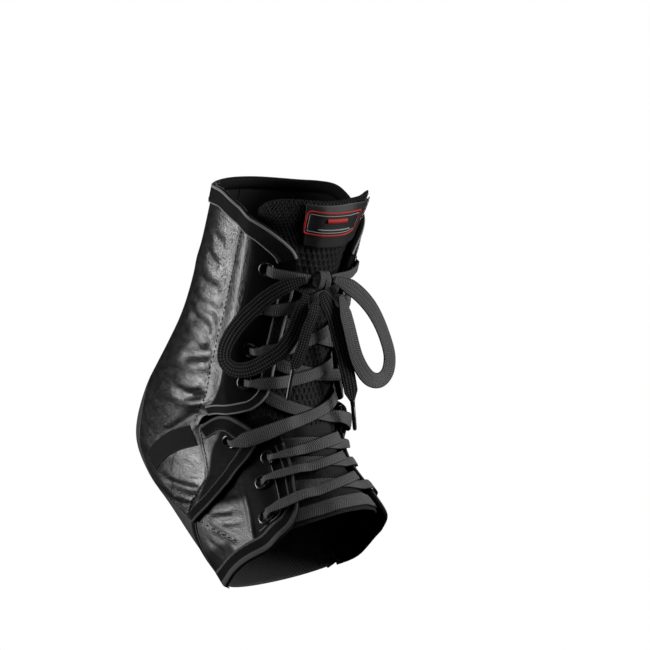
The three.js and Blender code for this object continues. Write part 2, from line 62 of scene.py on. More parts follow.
# Driving dimensions, the same as the model's.
FORM_LENGTH = 200 * MM
FORM_WIDTH = 70 * MM
FABRIC = 1.6 * MM
ELASTIC = 1.4 * MM
TONGUE_MIDDLE = 2.8 * MM
TONGUE_SIDE = 1.3 * MM
TONGUE_FLARE = 2.0 * MM
TAPE = 1.0 * MM
TAPE_WIDTH = 8.5 * MM
LABEL_THICK = 0.7 * MM
GAP = 0.4 * MM
LACE_THICK = 1.1 * MM
LACE_WIDTH = 7.6 * MM
LACE_FOLDED = 5.6 * MM
LACE_NARROW = 3.8 * MM
EYELET_OUTER = 4.0 * MM         # radius
EYELET_MARGIN = 1.7 * MM
FLAP_TAPE = 0.75                # share of TAPE_WIDTH that binds the flap
LACE_RIDGES = 4.5               # ridges across a lace
AGLET_THICK = 2.6 * MM
STATION_LENGTH = 230 * MM       # length of the form's surface for one unit of station
DEGREE_LENGTH = 0.62 * MM       # length round the form for one degree
ROUND_EDGE = 0.006              # share of a cloth's width that its rounded edge takes
TAPE_LIFT = 0.15 * MM           # height of a binding above its panel
LABEL_LIFT = GAP * 1.6          # height of the label above the tongue
FLAP_SEWN = 3.2                 # degrees that the flap's back edge reaches over the main panel
TUCK = 5.0                      # degrees that the elastic reaches under the panels
TUCK_DEPTH = 1.2 * MM           # how far its tucked edges lie below the rest
KNOT_SHARE = 0.82               # size of the wound knot as a share of KNOT_SIZE
WRAP_THICK = 1.0 * MM

# The camera, about 1.15 m from the brace: place, turn in degrees and lens in millimetres.
CAMERA_PLACE = (-0.688636, -0.894762, 0.236582)
CAMERA_TURN = (82.817, 0.0, -40.983)
CAMERA_LENS = 118.13
SENSOR = 36.0

# Sections of the form, as shares of FORM_LENGTH and FORM_WIDTH.
# station, front y, front z, back y, back z, half width, place of the widest point
SECTIONS = np.array([
    [0.00, -0.615, 1.014, -0.280, 1.158, 0.553, 0.50],
    [0.12, -0.559, 0.851, -0.234, 0.987, 0.520, 0.50],
    [0.25, -0.500, 0.687, -0.168, 0.822, 0.486, 0.50],
    [0.36, -0.462, 0.542, -0.104, 0.673, 0.473, 0.50],
    [0.45, -0.443, 0.414, -0.042, 0.543, 0.496, 0.49],
    [0.53, -0.447, 0.313, 0.042, 0.432, 0.530, 0.47],
    [0.61, -0.467, 0.257, 0.155, 0.303, 0.510, 0.46],
    [0.68, -0.488, 0.222, 0.208, 0.166, 0.476, 0.50],
    [0.75, -0.507, 0.183, 0.139, 0.071, 0.476, 0.55],
    [0.82, -0.536, 0.144, 0.006, 0.000, 0.503, 0.60],
    [0.88, -0.575, 0.104, -0.134, -0.079, 0.553, 0.62],
    [0.94, -0.621, 0.053, -0.267, -0.150, 0.596, 0.62],
    [1.00, -0.675, -0.004, -0.400, -0.220, 0.637, 0.62],
])

# Panel edges on the outer side, as station and angle.
COLLAR = [
    (0.215, 180.1), (0.213, 160), (0.209, 145), (0.202, 130), (0.190, 115), (0.180, 100), (0.183, 88),
    (0.189, 74), (0.195, 60), (0.202, 50), (0.217, 38), (0.232, 30), (0.245, 27),
]
FRONT_EDGE = [
    (0.245, 27), (0.262, 24.5), (0.28, 24.5), (0.35, 27), (0.40, 29), (0.45, 31), (0.50, 33), (0.522, 37),
]
LIP = [(0.547, 44), (0.557, 50), (0.568, 57), (0.578, 66), (0.592, 73), (0.607, 78)]
SEAM = [(0.64, 79), (0.667, 76), (0.73, 73), (0.772, 73.5), (0.80, 80), (0.825, 91), (0.845, 103)]
HEEL_SEAM = [(0.80, 124), (0.82, 114), (0.845, 103)]
BACK_EDGE = [
    (0.215, 180.1), (0.27, 180.1), (0.36, 180.1), (0.44, 179.8), (0.475, 172), (0.50, 162), (0.527, 150),
    (0.603, 138), (0.657, 130), (0.703, 128), (0.75, 128), (0.80, 124),
]
FLAP_BACK = [
    (0.632, 77.5), (0.667, 74.5), (0.73, 71.5), (0.772, 72), (0.80, 78.5), (0.825, 89.5), (0.845, 101),
]
FLAP_TOP = [(0.632, 77.5), (0.605, 71), (0.583, 63), (0.577, 54), (0.592, 47), (0.608, 44)]
FLAP_TIP = [(0.608, 44), (0.633, 42), (0.672, 43)]
FLAP_DIAGONAL = [
    (0.845, 101), (0.858, 96), (0.843, 79), (0.815, 66), (0.765, 54), (0.728, 47.5), (0.672, 43),
]
LOWER_FRONT = [
    (0.562, 33), (0.59, 29.5), (0.665, 28), (0.745, 26), (0.80, 27), (0.86, 30), (0.89, 32), (0.912, 36),
    (0.93, 42),
]
LOWER_TOP = [(0.575, 45), (0.565, 38), (0.562, 33)]
LOWER_BACK = [
    (0.575, 45), (0.62, 56), (0.66, 59), (0.72, 60), (0.77, 63), (0.81, 73), (0.838, 85), (0.858, 98.5),
    (0.89, 107), (0.94, 120), (0.952, 121.5),
]
RIM = [(0.952, 121.5), (0.955, 104), (0.950, 90), (0.945, 75), (0.945, 60), (0.940, 51), (0.930, 42)]
ELASTIC_EDGE = [
    (0.49, 172), (0.505, 164), (0.527, 152.5), (0.603, 140), (0.657, 132), (0.703, 130), (0.75, 130),
    (0.80, 126), (0.825, 116), (0.848, 105.5), (0.868, 103.5), (0.89, 109.5), (0.94, 122.5), (0.955, 124),
]
TONGUE_EDGE = [(0.175, 62), (0.30, 61), (0.50, 60), (0.65, 52), (0.80, 46), (0.928, 45)]
TONGUE_TOP = [
    (0.175, 62), (0.157, 57), (0.143, 46), (0.135, 30), (0.133, 0), (0.129, -18), (0.124, -30), (0.126, -39),
    (0.139, -49), (0.158, -57), (0.175, -62),
]
LABEL_TOP = [(0.141, 27), (0.138, 0), (0.136, -20), (0.141, -42)]
LABEL_BOTTOM = [(0.222, 23), (0.223, 0), (0.223, -20), (0.222, -42)]
TONGUE_BOTTOM = 0.928
TAPE_LINE = [(0.656, 81), (0.674, 93), (0.704, 106), (0.726, 114.5)]
EYELETS = [
    (0.278, 46, "main"), (0.357, 47, "main"), (0.432, 48, "main"), (0.493, 49, "main"),
    (0.645, 0, "flap"), (0.724, 37, "lower"), (0.816, 44, "lower"), (0.896, 50.5, "lower"),
]
# Soft dents and folds: station, angle, length along the fold, width, height, slope.
FOLDS = [
    (0.43, 88, 26, 5, 1.0, 0.2), (0.50, 96, 24, 5, 1.1, 0.3), (0.58, 104, 22, 5, 0.9, 0.2),
    (0.70, 108, 20, 6, 0.9, -0.2), (0.78, 106, 18, 5, 0.8, -0.3), (0.34, 110, 30, 7, 0.8, 0.1),
]

# Creases of the rear panel: points along the valley, depth and width in millimetres.
CREASES = [
    ([(0.428, 114), (0.427, 92), (0.432, 79)], 1.3, 2.6),
    ([(0.362, 112), (0.360, 91), (0.355, 79)], 0.7, 2.6),
    ([(0.400, 113), (0.395, 89)], 0.5, 2.0),
    ([(0.390, 94), (0.395, 77)], 0.5, 1.8),
    ([(0.510, 108), (0.482, 90), (0.460, 75)], 1.3, 2.6),
    ([(0.570, 106), (0.560, 88), (0.545, 76)], 1.3, 2.4),
    ([(0.600, 104), (0.570, 89), (0.535, 76)], 0.6, 1.8),
    ([(0.273, 102), (0.273, 84)], 0.6, 2.4),
    ([(0.306, 108), (0.318, 86)], 0.5, 2.0),
    ([(0.680, 108), (0.638, 92), (0.588, 79)], 0.8, 2.0),
    ([(0.762, 113), (0.790, 93), (0.807, 79)], 1.3, 2.6),
    ([(0.812, 116), (0.838, 89)], 0.8, 2.0),
]
LOWER_CREASES = [
    ([(0.862, 92), (0.890, 82), (0.917, 73)], 0.7, 1.4),
    ([(0.890, 98), (0.922, 88)], 0.6, 1.5),
    ([(0.848, 86), (0.858, 66)], 0.7, 1.5),
    ([(0.872, 80), (0.884, 65)], 0.4, 1.2),
    ([(0.828, 78), (0.826, 60)], 0.4, 1.3),
]

# The bow: station, angle and height in millimetres of the middle of each strap.
KNOT = (0.281, 7, 8.8)
KNOT_SIZE = (6.2, 3.8, 5.4)     # half sizes across, outwards and down
LOOP_TURN = 38                  # degrees that the inner loop's face is turned
LOOP_LATERAL = [
    (0.276, 20, 11.5), (0.294, 32, 12), (0.320, 41, 12), (0.345, 47, 11.5), (0.377, 54, 11),
    (0.408, 59.5, 10.5), (0.438, 62.5, 10), (0.459, 61.5, 10), (0.470, 56, 10.5), (0.467, 49, 11),
    (0.455, 42.5, 11.5), (0.437, 36, 12), (0.413, 28, 12), (0.380, 22.5, 12), (0.345, 20, 11.5),
    (0.306, 18, 10.5),
]
LOOP_MEDIAL = [
    (0.279, -2.5, 9.3), (0.298, -16, 13.5), (0.340, -30, 20), (0.397, -38, 27), (0.455, -41, 31),
    (0.488, -39, 30), (0.500, -34.5, 27), (0.488, -27, 23.5), (0.440, -19, 20.5), (0.365, -11.5, 17),
    (0.308, -6, 13),
]
END_LATERAL = [(0.316, 11.5, 12), (0.340, 13, 14.2), (0.370, 15.5, 14.5), (0.402, 17, 14.5), (0.450, 21, 14)]
END_MEDIAL = [(0.305, 5.5, 8.9), (0.345, -3, 11.5), (0.400, -10, 14), (0.470, -17, 16), (0.540, -20, 16)]

SIDES = ((1, "lateral"), (-1, "medial"))


# The form.

def smooth(x):
    s = np.clip(x, 0, 1)
    return s * s * (3 - 2 * s)


def hermite(table, x):
    """Smooth values of a table's columns at x, by cubic pieces through its rows."""
    place = table[:, 0]
    last = len(place) - 1
    before = np.maximum(np.arange(last + 1) - 1, 0)
    after = np.minimum(np.arange(last + 1) + 1, last)
    slope = (table[after] - table[before]) / (place[after] - place[before])[:, None]
    i = np.clip(np.searchsorted(place, x, side="right") - 1, 0, last - 1)
    h = (place[i + 1] - place[i])[..., None]
    s = (np.asarray(x) - place[i])[..., None] / h
    s2, s3 = s * s, s * s * s
    return ((2 * s3 - 3 * s2 + 1) * table[i] + (s3 - 2 * s2 + s) * h * slope[i]
            + (3 * s2 - 2 * s3) * table[i + 1] + (s3 - s2) * h * slope[i + 1])


def fine_sections(step=0.0025, blur=0.008):
    """The section table at close stations, blurred a little so that no band shows in a highlight."""
    x = np.arange(-0.04, 1.04 + step / 2, step)
    rows = hermite(SECTIONS, x)
    reach = np.arange(-8, 9) * step
    weight = np.exp(-(reach / blur) ** 2)
    weight /= weight.sum()
    padded = np.pad(rows, ((8, 8), (0, 0)), mode="reflect", reflect_type="odd")
    return np.stack([np.convolve(padded[:, k], weight, mode="valid") for k in range(rows.shape[1])], 1)


FINE = fine_sections()


def on_form(t, angle):
    """Points of the form's surface."""
    t, angle = np.broadcast_arrays(np.asarray(t, float), np.asarray(angle, float))
    fy, fz, by, bz, w, m = (np.interp(t, FINE[:, 0], FINE[:, k]) for k in range(1, 7))
    p = np.radians(angle)
    c = (1 - np.cos(p)) / 2 + (m - 0.5) * np.sin(p) ** 2
    x = -w * FORM_WIDTH * np.sin(p)
    return np.stack([x, (fy + (by - fy) * c) * FORM_LENGTH, (fz + (bz - fz) * c) * FORM_LENGTH], -1)


def unit(v):
    return v / np.maximum(np.linalg.norm(v, axis=-1, keepdims=True), 1e-12)


def slopes(t, angle):
    """Directions down and round the form, and the outward one."""
    t, angle = np.asarray(t, float), np.asarray(angle, float)
    down = (on_form(t + 0.004, angle) - on_form(t - 0.004, angle)) / 0.008
    around = on_form(t, angle + 0.5) - on_form(t, angle - 0.5)
    return down, around, unit(np.cross(around, down))


def lifted(t, angle, height):
    return on_form(t, angle) + slopes(t, angle)[2] * np.asarray(height)[..., None]


def walk(t, angle, direction, distance):
    """Spots reached from (t, angle) by walks of the given lengths in a direction on the form."""
    down, around, _ = slopes(t, angle)
    dd, dr, rr = (down * down).sum(-1), (down * around).sum(-1), (around * around).sum(-1)
    gd, gr = (direction * down).sum(-1) * distance, (direction * around).sum(-1) * distance
    det = dd * rr - dr * dr
    return t + (gd * rr - gr * dr) / det, angle + (gr * dd - gd * dr) / det


# Lines on the form.

def rounded(line, times=2):
    """The line with its corners cut, and its ends kept."""
    line = np.array([p[:2] for p in line], float)
    for _ in range(times):
        near = line[:-1] * 0.75 + line[1:] * 0.25
        far = line[:-1] * 0.25 + line[1:] * 0.75
        line = np.vstack([line[:1], np.stack([near, far], 1).reshape(-1, 2)[1:-1], line[-1:]])
    return line


def running(points, axis=0):
    """Length along an array of points, up to each of them."""
    steps = np.diff(points, axis=axis, prepend=np.take(points, [0], axis))
    return np.cumsum(np.linalg.norm(steps, axis=-1), axis=axis)


def line_lengths(line):
    return running(np.asarray(line) * (STATION_LENGTH, DEGREE_LENGTH))


def along(line, s):
    """Spots at shares s of the length of a line."""
    line = np.asarray(line, float)
    lengths = line_lengths(line)
    x = np.clip(s, 0, 1) * lengths[-1]
    return np.interp(x, lengths, line[:, 0]), np.interp(x, lengths, line[:, 1])


def line_at(line, t):
    """The line's angle at station t, held at the ends."""
    line = np.array([p[:2] for p in line], float)
    order = np.argsort(line[:, 0])
    return np.interp(t, line[order, 0], line[order, 1])


def mirrored(line):
    return [(p[0], -p[1]) for p in line]


def sided(line, side):
    return list(line) if side > 0 else mirrored(line)


def backwards(line):
    return list(line)[::-1]


def patch(top, bottom, back, front):
    """Place on a patch between four edges: u from back to front, v from top to bottom."""
    top, bottom, back, front = (rounded(e) for e in (top, bottom, back, front))
    corner = [back[0], front[0], back[-1], front[-1]]

    def place(u, v):
        at_top, at_bottom = along(top, u), along(bottom, u)
        at_back, at_front = along(back, v), along(front, v)
        return tuple(
            (1 - v) * at_top[k] + v * at_bottom[k] + (1 - u) * at_back[k] + u * at_front[k]
            - ((1 - u) * (1 - v) * corner[0][k] + u * (1 - v) * corner[1][k]
               + (1 - u) * v * corner[2][k] + u * v * corner[3][k])
            for k in (0, 1))
    return place


def inside(loop, t, a):
    """Whether a spot lies inside a closed loop of (station, angle) corners."""
    loop = np.array([p[:2] for p in loop], float)
    hit = np.zeros(np.shape(a), bool)
    for (ti, ai), (tj, aj) in zip(loop, np.roll(loop, 1, axis=0)):
        if ai == aj:
            continue
        crosses = ((ai > a) != (aj > a)) & (t < (tj - ti) * (a - ai) / (aj - ai) + ti)
        hit ^= crosses
    return hit


def distance_to(line, t, a):
    """Signed distance in metres to a line on the form, and the share of its length at the nearest place."""
    line = rounded(line) * (STATION_LENGTH, DEGREE_LENGTH)
    spots = np.stack([np.asarray(t) * STATION_LENGTH, np.abs(a) * DEGREE_LENGTH], -1)
    best = np.full(spots.shape[:-1], 9.0)
    sign = np.ones_like(best)
    share = np.zeros_like(best)
    lengths = running(line)
    for k, (p, q) in enumerate(zip(line[:-1], line[1:])):
        d = q - p
        s = np.clip(((spots - p) @ d) / (d @ d), 0, 1)
        off = spots - (p + s[..., None] * d)
        far = np.linalg.norm(off, axis=-1)
        closer = far < best
        best = np.where(closer, far, best)
        turn = d[0] * off[..., 1] - d[1] * off[..., 0]
        sign = np.where(closer, np.sign(turn), sign)
        share = np.where(closer, (lengths[k] + s * math.sqrt(d @ d)) / lengths[-1], share)
    return best * sign, share


# Heights of the layers.

def tongue_thickness(t, a):
    middle = (1 - smooth((np.abs(a) - 10) / 12)) * smooth((t - 0.13) / 0.03)
    return TONGUE_SIDE + (TONGUE_MIDDLE - TONGUE_SIDE) * middle


def tongue_lift(t, a):
    t, a = np.asarray(t, float), np.asarray(a, float)
    return GAP + TONGUE_FLARE * smooth((0.22 - t) / 0.07) * smooth((-a - 8) / 18)


def tongue_top(t, a):
    return tongue_lift(t, a) + tongue_thickness(t, a)


OVER_TONGUE = GAP + TONGUE_SIDE + 2.5 * GAP + LACE_THICK


def folds(t, a):
    height = 0
    for ft, fa, long, wide, high, lean in FOLDS:
        x = (np.abs(a) - fa) * DEGREE_LENGTH / MM
        y = (t - ft) * STATION_LENGTH / MM - lean * x
        height = height + high * MM * np.exp(-2 * (x / long) ** 2 - 2 * (y / wide) ** 2)
    return height


def panel_lift(t, a):
    over = 1 - smooth((np.abs(a) - line_at(TONGUE_EDGE, t) - 1) / 15)
    return GAP + folds(t, a) + (OVER_TONGUE - GAP) * over


def panel_top(t, a):
    return panel_lift(t, a) + FABRIC


def flap_lift(t, a):
    over = 1 - smooth((np.abs(a) - line_at(LOWER_BACK, t) - 3) / 11.5)
    return panel_lift(t, a) + (FABRIC + 2 * GAP) * over


def flap_top(t, a):
    return flap_lift(t, a) + FABRIC


MAIN_LOOP = COLLAR + FRONT_EDGE + LIP + SEAM + backwards(HEEL_SEAM) + backwards(BACK_EDGE)
FLAP_LOOP = FLAP_TOP + FLAP_TIP + backwards(FLAP_DIAGONAL) + backwards(FLAP_BACK)
LOWER_LOOP = backwards(LOWER_TOP) + LOWER_BACK + RIM + backwards(LOWER_FRONT)


def outer_top(t, angle):
    """Height of the outermost layer, with room for the binding tape on every panel."""
    a = np.abs(angle)
    covered = inside(MAIN_LOOP, t, a) | inside(LOWER_LOOP, t, a)
    top = np.where(covered, panel_top(t, a) + GAP + TAPE, tongue_top(t, a))
    return np.where(inside(FLAP_LOOP, t, a), flap_top(t, a) + GAP + TAPE, top)


def place_flap_eyelet():
    """The flap's eyelet lies a margin behind the binding of the flap's tip."""
    row = [carrier for _, _, carrier in EYELETS].index("flap")
    t = EYELETS[row][0]
    a = float(line_at(FLAP_TIP, t))
    reach = TAPE_WIDTH * FLAP_TAPE + EYELET_OUTER + EYELET_MARGIN
    _, angle = walk(t, a, unit(slopes(t, a)[1]), reach)
    EYELETS[row] = (t, float(angle), "flap")


place_flap_eyelet()


# Meshes.

def new_mesh(name, points, faces, uv=None, marks=None):
    """Mesh object from arrays; uv is in metres for each point, and marks are named values of each point."""
    mesh = bpy.data.meshes.new(name)
    mesh.from_pydata(np.asarray(points, float).tolist(), [], faces)
    mesh.polygons.foreach_set("use_smooth", np.ones(len(mesh.polygons), bool))
    if uv is not None:
        corner = np.empty(len(mesh.loops), np.int32)
        mesh.loops.foreach_get("vertex_index", corner)
        layer = mesh.uv_layers.new(name="cloth")
        layer.data.foreach_set("uv", np.asarray(uv, float)[corner].ravel())
    for key, values in (marks or {}).items():
        layer = mesh.attributes.new(key, "FLOAT", "POINT")
        layer.data.foreach_set("value", np.asarray(values, float).ravel())
    mesh.update()
    obj = bpy.data.objects.new(name, mesh)
    bpy.context.scene.collection.objects.link(obj)
    return obj


def finish_piece(obj, material, nodes=()):
    obj.data.materials.append(material)
    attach(obj, BODY)
    if nodes:
        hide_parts(*nodes)
    return obj


def grid_faces(rows, cols, start=0, flip=False):
    """Faces of a grid of points."""
    i, j = np.meshgrid(np.arange(rows - 1), np.arange(cols - 1), indexing="ij")
    a = (start + i * cols + j).ravel()
    quads = np.stack([a, a + cols, a + cols + 1, a + 1], 1)
    return (quads[:, ::-1] if flip else quads).tolist()


def ring_faces(rings, count, start=0):
    """Faces between rings of `count` points, round the ring and along the sweep."""
    i, j = np.meshgrid(np.arange(rings - 1), np.arange(count), indexing="ij")
    a = start + i * count + j
    b = start + i * count + (j + 1) % count
    return np.stack([a, b, b + count, a + count], -1).reshape(-1, 4).tolist()


def eased_steps(count, edge=ROUND_EDGE):
    """Shares from 0 to 1, with two close steps at each end for the rounded edge of a cloth."""
    start = [0, edge * 0.3, edge]
    return np.concatenate([start, np.linspace(edge, 1 - edge, count)[1:-1], 1 - np.array(start[::-1])])


def cloth_slab(name, place, across, down, lift, thickness, extra=None, marks=None):
    """Sheet of cloth with rounded edges, its area and its flat size; `extra` raises its outer face."""
    u, v = np.meshgrid(eased_steps(across), eased_steps(down))
    t, a = place(u, v)
    low = lift(t, a)
    thick = thickness(t, a) if callable(thickness) else thickness
    brim = np.minimum(np.minimum(u, 1 - u), np.minimum(v, 1 - v))
    round_off = np.clip(brim / ROUND_EDGE, 0, 1)
    round_off = np.sqrt(1 - (1 - round_off) ** 2)
    more = extra(t, a) * round_off if extra else 0
    outer = lifted(t, a, low + thick * (0.5 + 0.5 * round_off) + more)
    inner = lifted(t, a, low + thick * (0.5 - 0.5 * round_off))
    rows, cols = u.shape
    across_m = running(outer, 1)
    down_m = running(outer)
    across_m = across_m - across_m[:, cols // 2][:, None]
    uv = np.stack([across_m, down_m], -1).reshape(-1, 2)
    faces = grid_faces(rows, cols) + grid_faces(rows, cols, rows * cols, flip=True)
    border = ([(0, j) for j in range(cols)] + [(i, cols - 1) for i in range(1, rows)]
              + [(rows - 1, j) for j in range(cols - 2, -1, -1)] + [(i, 0) for i in range(rows - 2, 0, -1)])
    edge = [i * cols + j for i, j in border]
    for p, q in zip(edge, edge[1:] + edge[:1]):
        faces.append((p, q, q + rows * cols, p + rows * cols))
    points = np.vstack([outer.reshape(-1, 3), inner.reshape(-1, 3)])
    values = {"lining": np.concatenate([np.zeros(rows * cols), np.ones(rows * cols)])}
    for key, value in (marks(t, a) if marks else {}).items():
        values[key] = np.tile(np.broadcast_to(value, t.shape).ravel(), 2)
    obj = new_mesh(name, points, faces, np.vstack([uv, uv]), values)
    face_out(obj)
    corner = outer[:-1, :-1]
    cells = np.linalg.norm(np.cross(outer[1:, :-1] - corner, outer[:-1, 1:] - corner), axis=-1)
    size = (float(np.median(np.ptp(across_m, axis=1))), float(np.median(down_m[-1])))
    return obj, float(cells.sum()), size


def face_out(obj):
    """Turn the faces outwards, by the sign of the volume."""
    mesh = obj.data
    mesh.calc_loop_triangles()
    points = np.empty(len(mesh.vertices) * 3)
    mesh.vertices.foreach_get("co", points)
    points = points.reshape(-1, 3)
    tris = np.empty(len(mesh.loop_triangles) * 3, np.int32)
    mesh.loop_triangles.foreach_get("vertices", tris)
    a, b, c = (points[tris.reshape(-1, 3)[:, k]] for k in range(3))
    if (a * np.cross(b, c)).sum() < 0:
        mesh.flip_normals()


def frames_along(line, steps, start=0.0, end=1.0):
    """Spots along a line with the direction across it on the form."""
    s = np.linspace(start, end, steps + 1)
    line = rounded(line)
    t, a = along(line, s)
    before, after = along(line, s - 0.5 / steps), along(line, s + 0.5 / steps)
    forward = unit(on_form(*after) - on_form(*before))
    across = unit(np.cross(slopes(t, a)[2], forward))
    return s, t, a, forward, across


def swept(line, steps, profile, lift, scale=None):
    """Rings of a closed profile of (across, height) rows, carried along a line on the form."""
    s, t, a, _, across = frames_along(line, steps)
    profile = np.asarray(profile, float)[:, :2]
    wide = np.ones_like(s) if scale is None else scale(s)
    rings = []
    for x, h in profile:
        tt, aa = walk(t, a, across, x * wide)
        rings.append(lifted(tt, aa, lift(tt, aa, s, x) + h))
    return np.stack(rings, 1)


def tube_mesh(name, rings, across=None):
    """Closed mesh over rings of points; `across` marks a ring's points, 0 in the middle to 1 at an edge."""
    count, sides = rings.shape[:2]
    points = rings.reshape(-1, 3)
    faces = ring_faces(count, sides)
    faces.append(tuple(range(sides))[::-1])
    faces.append(tuple((count - 1) * sides + k for k in range(sides)))
    run = running(rings.mean(axis=1))
    round_m = running(rings, 1)
    uv = np.stack([np.broadcast_to(run[:, None], round_m.shape), round_m], -1).reshape(-1, 2)
    share = np.zeros(sides) if across is None else np.asarray(across)
    obj = new_mesh(name, points, faces, uv, {"across": np.tile(share, count)})
    face_out(obj)
    return obj


def tape_profile(width, thickness, lift):
    """Flat tape about its middle, as (across, height, edge highlight) rows; the last is 1 where a highlight
    is painted on the edge.
    """
    half = width / 2
    top = lift + thickness
    side = [
        (half, lift, 0), (half, top - 0.15 * MM, 1), (half - 0.15 * MM, top, 1), (half - 0.5 * MM, top, 1),
        (half - 0.8 * MM, top - 0.06 * MM, 0), (half * 0.5, top, 0),
    ]
    other = [(-x, h, m) for x, h, m in side[::-1]]
    return side + [(0, top + 0.02 * MM, 0)] + other


def rolled_profile(width, thickness, lift, drop, leaf=0.0):
    """Binding folded over an edge, as (across, height, edge highlight) rows: outer leaf, roll and inner
    leaf; the last is 1 where a highlight is painted on the roll.
    """
    top = lift + thickness
    outer = [
        (width, lift * 0.4, 0), (width - 0.05 * MM, top - 0.25 * MM, 1), (width - 0.25 * MM, top, 1),
        (width - 0.6 * MM, top, 1), (width - 0.95 * MM, top - 0.08 * MM, 0),
        (width * 0.6, top - 0.05 * MM, 0), (width * 0.35, top, 0), (0.75 * MM, top + 0.02 * MM, 0),
    ]
    roll = [
        (0.4 * MM, top + 0.1 * MM, 1), (-0.1 * MM, top + 0.08 * MM, 1), (-0.5 * MM, top - 0.25 * MM, 1),
        (-0.8 * MM, top - 0.7 * MM, 0), (-0.85 * MM, -drop * 0.6, 0), (-0.55 * MM, -drop - 0.3 * MM, 0),
        (0.1 * MM, -drop - 0.55 * MM, 0),
    ]
    inner = [
        (leaf * 0.5, -drop - 0.55 * MM, 0), (leaf, -drop - 0.45 * MM, 0), (leaf, -drop - 0.12 * MM, 0),
        (leaf * 0.5, -drop - 0.1 * MM, 0),
    ]
    back = [
        (0.1 * MM, -drop - 0.1 * MM, 0), (-0.1 * MM, -drop * 0.5, 0), (0.05 * MM, lift * 0.3, 0),
        (width * 0.5, lift * 0.3, 0),
    ]
    return outer + roll + (inner if leaf else []) + back


def circle(count):
    return np.linspace(0, 2 * math.pi, count, endpoint=False)


def turned(profile, centre, axis, side, up, count):
    """Rings round an axis, one for each (distance, radius) row."""
    p = circle(count)[:, None]
    return np.array([centre + axis * x + r * (np.cos(p) * side + np.sin(p) * up) for x, r in profile])


STITCH_PROFILE = ((-0.5, 0.25), (-0.36, 0.85), (0.0, 1.0), (0.36, 0.85), (0.5, 0.25))


def stitch_mesh(name, rows, radius, material):
    """One joined mesh of stitches; each row is (centres, directions, normals, length)."""
    points, faces = [], []
    start = 0
    sides = 6
    for centres, forward, normal, length in rows:
        profile = [(x * length, r * radius) for x, r in STITCH_PROFILE]
        for c, f, x, n in zip(centres, forward, np.cross(normal, forward), normal):
            rings = turned(profile, c, f, x, n * 0.8, sides)
            points.append(rings.reshape(-1, 3))
            faces += ring_faces(len(rings), sides, start=start)
            faces.append(tuple(start + k for k in range(sides))[::-1])
            faces.append(tuple(start + (len(rings) - 1) * sides + k for k in range(sides)))
            start += len(rings) * sides
    obj = new_mesh(name, np.vstack(points), faces)
    return finish_piece(obj, material)


def stitches(line, offset, height, pitch=2.6 * MM, share=0.62, start=0.0, end=1.0):
    """Centres and directions of a row of stitches beside a line."""
    total = line_lengths(rounded(line))[-1] * (end - start)
    count = max(2, int(total / pitch))
    s, t, a, forward, across = frames_along(line, count, start, end)
    s, t, a, forward, across = (x[:-1] for x in (s, t, a, forward, across))
    t, a = walk(t, a, across, offset)
    normal = slopes(t, a)[2]
    centres = lifted(t, a, height(t, a))
    forward = unit(forward - normal * (forward * normal).sum(-1, keepdims=True))
    return centres, forward, normal, pitch * share


# Materials.

